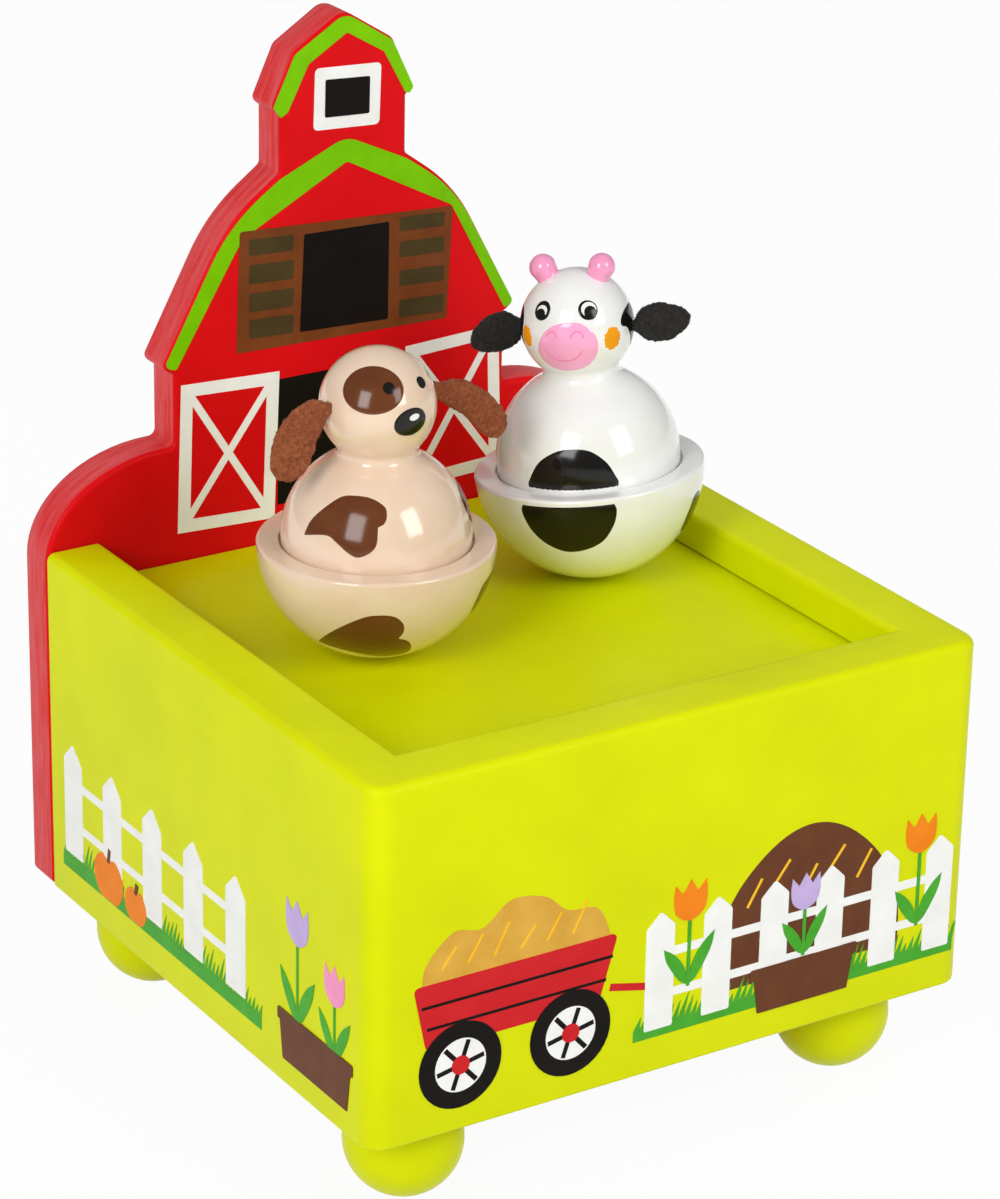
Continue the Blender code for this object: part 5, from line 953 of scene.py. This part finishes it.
for name, spec in earSpecs.items():
    matrix = figureSpecs[name]["headMatrix"]
    for sideName in ("left", "right"):
        grid, normal = lumpy(earSurface(sideName, spec[sideName]), feltSpec["lumps"], feltSpec["lumpSize"])
        outward = np.sign(((grid - grid.mean(axis=1, keepdims=True)) * normal).sum())
        parts = [gridSurface(grid, capEnds=True),
                 fibreSurface(grid, normal * outward, spec["fibres"], feltSpec)]
        makePiece(f"{name}Ear{sideName.title()}", [(moved(points, matrix), faces) for points, faces in parts],
                  spec["finish"], name, (f"{name}_ear_{sideName}",), 60)
print("felt ears made")

# Farm print on the walls: millimetres along each wall and over the foot of the box


def onWall(side):
    # print place: u runs along the wall from its left end as seen from outside, v up from the
    # foot of the box, and the film stands off the wall by its lift
    half, back = boxSpec["half"], boxSpec["boardFront"]

    def place(outline, lift):
        u, v = (np.asarray(outline, float) * mm).T
        out = np.full(len(u), half + lift)
        x, y = {"front": (u - half, -out), "left": (-out, back - u), "right": (out, u - half)}[side]
        return np.stack([x, y, v + boxSpec["foot"]], axis=-1)

    return place


printSpec = {    # in millimetres; cup, leaf and pumpkin outlines in shares of their size
    "film": 0.03, "layerStep": 0.025, "outlineStep": 0.001, "railWidth": 1.5, "railOver": 1.5,
    "bladePitch": 1.15, "bladeLeast": 1.6, "bladeLean": 0.35, "stemHalf": 0.3,
    "cup": [(0, -1.0), (0.72, -0.62), (0.92, 0.1), (0.86, 0.95), (0.42, 0.42), (0.0, 1.1),
            (-0.42, 0.42), (-0.86, 0.95), (-0.92, 0.1), (-0.72, -0.62)],
    "leaf": [(0, 0), (0.9, 0.7), (2.2, 2.9), (2.6, 4.6), (1.4, 3.6), (0.4, 2.0)],
    "leafScales": [(1, 1), (-1, 0.86)], "leafSize": 0.55,
    "pumpkin": [(0, -0.86), (0.6, -0.84), (1.05, -0.25), (0.98, 0.4), (0.5, 0.8), (0, 0.68),
                (-0.5, 0.8), (-0.98, 0.4), (-1.05, -0.25), (-0.6, -0.84)],
    "hub": 0.62, "spoke": 0.58, "spokeTurns": (0.2, 1.247, 2.294), "spokeWidth": 0.8, "cap": 0.22,
    "picketRounds": [0.3, 0.3, 0.8, 0.5, 0.8], "stalkWidth": 0.9,
    "troughSlope": 1.2, "troughLip": 0.3, "rimOver": 0.4, "rimSink": 0.2, "rimHeight": 1.8,
}


def bar(u0, v0, u1, v1):
    return np.array([(u0, v0), (u1, v0), (u1, v1), (u0, v1)], float)


def disc(u, v, radius, count=36):
    return arcPoints((u, v), radius, 0, 360 * (1 - 1 / count), count)


def picket(u, foot, top, width):
    # a board with a pointed head, its corners softened
    half, neck = width / 2, top - width / 2
    return roundCorners([(u - half, foot), (u + half, foot), (u + half, neck), (u, top), (u - half, neck)],
                        printSpec["picketRounds"], 4)


def grassStrip(start, stop, foot, low, high, seed):
    # blades: a zigzag whose tips and notches are drawn from a seeded row of random heights
    local = np.random.default_rng(seed)
    count = int((stop - start) / printSpec["bladePitch"])
    u = np.linspace(start, stop, 2 * count + 1)
    tips = local.uniform(low + printSpec["bladeLeast"], high, 2 * count + 1)
    v = np.where(np.arange(2 * count + 1) % 2, tips, low)
    return np.concatenate([[(stop, foot), (start, foot)],
                           np.stack([u + printSpec["bladeLean"] * (v - low), v], axis=-1)])


def tulip(u, foot, height, size):
    # cup with three points, on a stem with two leaves: returns (cup, [stem, leaf, leaf])
    top, half = foot + height, printSpec["stemHalf"]
    cup = throughPoints(np.array(printSpec["cup"]) * size + (u, top), 6, corners=(3, 4, 5, 6, 7))
    leaves = [throughPoints(np.array(printSpec["leaf"]) * scale * size * printSpec["leafSize"]
                            + (u, foot + 0.2), 5, corners=(0, 3)) for scale in printSpec["leafScales"]]
    return cup, [bar(u - half, foot, u + half, top - 0.7 * size), *leaves]


def tulipStems(*tulips):
    return ("Stems", grassPaint, 4, [outline for cup, greens in tulips for outline in greens])


def trough(u0, u1, foot, height):
    # a planter that widens upwards, with a rim
    top = foot + height
    slope, lip, over = (printSpec[word] for word in ("troughSlope", "troughLip", "rimOver"))
    rim = bar(u0 - over, top - printSpec["rimSink"], u1 + over, top + printSpec["rimHeight"])
    return ("Planter", brownPaint, 6, [
        np.array([(u0 + slope, foot), (u1 - slope, foot), (u1 - lip, top), (u0 + lip, top)]),
        roundedPatch(rim, over)])


def fence(start, stop, pitch, width, foot, top, rails, grass):
    # rails, a strip of grass before them, and pickets: three rows for paintWall
    over = printSpec["railOver"]
    return [("FenceRails", whitePaint, 1, [bar(start - over, v, stop + over, v + printSpec["railWidth"])
                                           for v in rails]),
            ("Grass", grassPaint, 2, [grassStrip(*grass)]),
            ("Pickets", whitePaint, 3, [picket(u, foot, top, width)
                                        for u in np.arange(start, stop + 0.1, pitch)])]


def paintWall(side, shapes):
    # shapes: (word, paint, layer, outlines); one piece for each, the layers one film apart, and
    # the outlines of a layer a micron apart where they cross
    film, layerStep, outlineStep = (printSpec[word] for word in ("film", "layerStep", "outlineStep"))
    for word, paint, layer, outlines in shapes:
        makePiece(f"{side}{word}", [
            flatPatch(outline, onWall(side), (film + layerStep * layer + outlineStep * i) * mm)
            for i, outline in enumerate(outlines)], paint)


haystack = throughPoints([(60.5, 10.5), (61, 18), (65, 27), (72, 33.5), (79, 35.5), (86, 33), (92.5, 26.5),
                          (96, 18), (96.5, 10.5)], 8, corners=(0, 8))
heap = throughPoints([(8.5, 25.2), (9.5, 29.5), (14, 33.6), (19, 33.0), (24, 36.4), (30, 35.4), (34, 32.2),
                      (39.5, 31.0), (42.2, 25.2)], 8, corners=(0, 8))
cartBody = roundCorners([(9.5, 15.0), (40.0, 15.0), (43.2, 26.0), (7.2, 26.0)], [1.2, 1.2, 0.8, 0.8], 5)
cartSlats = [stroke((9.6, 18.6), (41.2, 18.6), 0.5), stroke((8.6, 22.3), (42.3, 22.3), 0.5)]
wheels = [(15.5, 11.2, 7.2), (35.0, 11.2, 7.2)]    # middle and radius
spokes = []
for u, v, radius in wheels:
    for turn in printSpec["spokeTurns"]:
        reach = radius * printSpec["spoke"] * np.array([math.cos(turn), math.sin(turn)])
        spokes.append(stroke((u, v) + reach, (u, v) - reach, printSpec["spokeWidth"]))
straws = [stroke((12 + 4.6 * i, 28.0), (14.5 + 4.6 * i, 31.2 + (i % 3) * 0.9), 0.45) for i in range(6)]
straws += [stroke((67 + 5.2 * i, 24.0 + (i % 2) * 3), (69.6 + 5.2 * i, 28.4 + (i % 2) * 2.0), 0.5)
           for i in range(5)]
orangeTulips = [tulip(56.3, 13.5, 14.5, 3.3), tulip(100.0, 12.5, 16.0, 3.2)]
lilacTulip = tulip(78.0, 13.0, 11.0, 3.0)
paintWall("front", [
    ("Haystack", brownPaint, 0, [haystack]), ("HayHeap", strawPaint, 0, [heap]),
    ("StrawMarks", yellowPaint, 1, straws),
    *fence(51.0, 104.0, 10.6, 5.2, 7.5, 27.5, (12.5, 19.5), (46.5, 107.5, 6.2, 8.0, 12.6, 3)),
    ("CartBody", redPaint, 2, [cartBody, stroke((42.0, 17.0), (52.0, 14.6), 1.2)]),
    ("CartSlats", blackPaint, 3, cartSlats),
    ("WheelTyres", blackPaint, 4, [disc(*wheel) for wheel in wheels]),
    ("WheelHubs", whitePaint, 5, [disc(u, v, radius * printSpec["hub"]) for u, v, radius in wheels]),
    ("WheelSpokes", blackPaint, 6, spokes),
    ("AxleCaps", redPaint, 7, [disc(u, v, radius * printSpec["cap"], 20) for u, v, radius in wheels]),
    tulipStems(*orangeTulips, lilacTulip),
    ("OrangeTulips", orangePaint, 5, [cup for cup, greens in orangeTulips]),
    ("LilacTulip", lilacPaint, 5, [lilacTulip[0]]),
    trough(68.5, 88.0, 5.0, 6.0),
])
lilacTulip, pinkTulip = tulip(81.0, 12.0, 17.0, 3.6), tulip(92.0, 11.0, 12.5, 3.2)
pumpkins = [(20.0, 10.2, 4.6), (29.2, 9.2, 3.4)]    # middle and size
paintWall("left", [
    *fence(8.0, 62.0, 13.5, 6.2, 9.0, 29.0, (14.0, 21.5), (4.0, 70.0, 6.0, 8.2, 13.2, 5)),
    ("Pumpkins", orangePaint, 4, [throughPoints(np.array(printSpec["pumpkin"]) * size + (u, v), 5)
                                  for u, v, size in pumpkins]),
    ("PumpkinStalks", brownPaint, 5, [
        stroke((u, v + 0.6 * size), (u + 0.5, v + 1.15 * size), printSpec["stalkWidth"])
        for u, v, size in pumpkins]),
    tulipStems(lilacTulip, pinkTulip),
    ("LilacTulip", lilacPaint, 5, [lilacTulip[0]]), ("PinkTulip", pinkPaint, 5, [pinkTulip[0]]),
    trough(75.5, 97.0, 4.5, 6.5),
])
orangeTulip, pinkTulip = tulip(13.0, 12.0, 16.0, 3.5), tulip(24.0, 12.0, 11.0, 3.1)
paintWall("right", [
    *fence(38.0, 96.0, 11.6, 5.6, 8.0, 27.5, (13.0, 20.0), (33.0, 99.5, 6.0, 8.0, 12.8, 8)),
    tulipStems(orangeTulip, pinkTulip),
    ("OrangeTulip", orangePaint, 5, [orangeTulip[0]]), ("PinkTulip", pinkPaint, 5, [pinkTulip[0]]),
    trough(7.5, 29.5, 4.5, 6.5),
])
print("farm print made")

# Finishes of the carried-over parts

finishes = {
    "lime_lacquer": limeLacquer, "red_lacquer": redLacquer, "bare_plywood": barePlywood,
    "beige_lacquer": beigeGloss, "white_lacquer": whiteGloss, "pink_lacquer": pinkGloss,
    "brown_felt": brownFelt, "black_felt": blackFelt, "zinc_casting": zincCasting, "brass": cutBrass,
    "spring_steel": springSteel, "plated_steel": platedSteel, "magnet_nickel": nickel,
    "fan_plastic": fanPlastic,
}
for name, node in frame["nodes"].items():
    for slot in node.material_slots:
        word = slot.material.name.split(".")[0]
        slot.material = finishes.get(word, slot.material)
print("carried-over parts finished:", len(frame["nodes"]))

# Floor, world and lamps

lightSpec = {
    "world": 0.24, "target": (0, 0, 0.08), "floorWhite": 0.95, "floorDrop": 0.02 * mm, "floorReach": 4.0,
    "kinds": {    # the fills give level light and no window of their own in the gloss
        "softbox": {"size": (0.33, 0.50), "away": 0.95, "glossy": True},
        "fill": {"size": (1.7, 1.3), "away": 1.7, "glossy": False},
        "topFill": {"size": (1.7, 1.7), "away": 1.7, "glossy": False},
    },
    "lamps": [    # name, kind, direction from the target, power
        ("leftSoftbox", "softbox", (-0.77, -0.44, 0.46), 4.5),
        ("rightSoftbox", "softbox", (0.26, -0.83, 0.49), 3.3),
        ("fillLeft", "fill", (-0.85, 0.25, 0.50), 2.9),
        ("fillRight", "fill", (0.85, -0.25, 0.50), 1.9),
        ("fillBack", "fill", (0.30, 0.75, 0.60), 5.0),
        ("fillTop", "topFill", (0.0, -0.05, 1.0), 3.0),
    ],
}


def gray(value):
    return (value, value, value, 1.0)


def makeWorld(strength):
    world = bpy.data.worlds.new("studio")
    bpy.context.scene.world = world
    world.use_nodes = True
    tree = world.node_tree
    plug(tree, tree.nodes["Background"], {"Color": gray(1.0), "Strength": strength})


def makeFloor(spec):
    # pale floor whose own colour is lifted to white where the camera sees it, less the shadow
    reach, low = spec["floorReach"], -spec["floorDrop"]
    mesh = bpy.data.meshes.new("floor")
    mesh.from_pydata([(-reach, -reach, low), (reach, -reach, low), (reach, reach, low), (-reach, reach, low)],
                     [], [(0, 1, 2, 3)])
    floor = bpy.data.objects.new("floor", mesh)
    bpy.context.scene.collection.objects.link(floor)
    material, tree, shader = startMaterial("paleStudioFloor")
    plug(tree, shader, {"Base Color": gray(0.86), "Roughness": 0.9, "Specular IOR Level": 0.1})
    white = addNode(tree, "Emission", "Emission", {"Color": gray(1.0), "Strength": 1.0})
    camera, glossy, through = (addNode(tree, "LightPath", f"Is {word} Ray", {})
                               for word in ("Camera", "Glossy", "Transmission"))
    mirrored = addNode(tree, "Math", "Value", {0: glossy, 1: through}, operation="MAXIMUM")
    seen = addNode(tree, "Math", "Value", {0: camera, 1: mirrored}, operation="MAXIMUM")
    share = addNode(tree, "Math", "Value", {0: seen, 1: spec["floorWhite"]}, operation="MULTIPLY")
    mixed = addNode(tree, "MixShader", "Shader", {0: share, 1: shader.outputs["BSDF"], 2: white})
    plug(tree, tree.nodes["Material Output"], {"Surface": mixed})
    mesh.materials.append(material)


def makeLamp(name, kind, toward, power):
    data = bpy.data.lights.new(name, "AREA")
    data.shape = "RECTANGLE"
    data.size, data.size_y = kind["size"]
    data.energy = power
    lamp = bpy.data.objects.new(name, data)
    bpy.context.scene.collection.objects.link(lamp)
    toward = Vector(toward).normalized()
    lamp.location = Vector(lightSpec["target"]) + toward * kind["away"]
    lamp.rotation_euler = toward.to_track_quat("Z", "Y").to_euler()
    lamp.visible_glossy = kind["glossy"]


makeWorld(lightSpec["world"])
makeFloor(lightSpec)
for name, kind, toward, power in lightSpec["lamps"]:
    makeLamp(name, lightSpec["kinds"][kind], toward, power)
bpy.context.scene.view_settings.view_transform = "Standard"
print("floor and lights made")
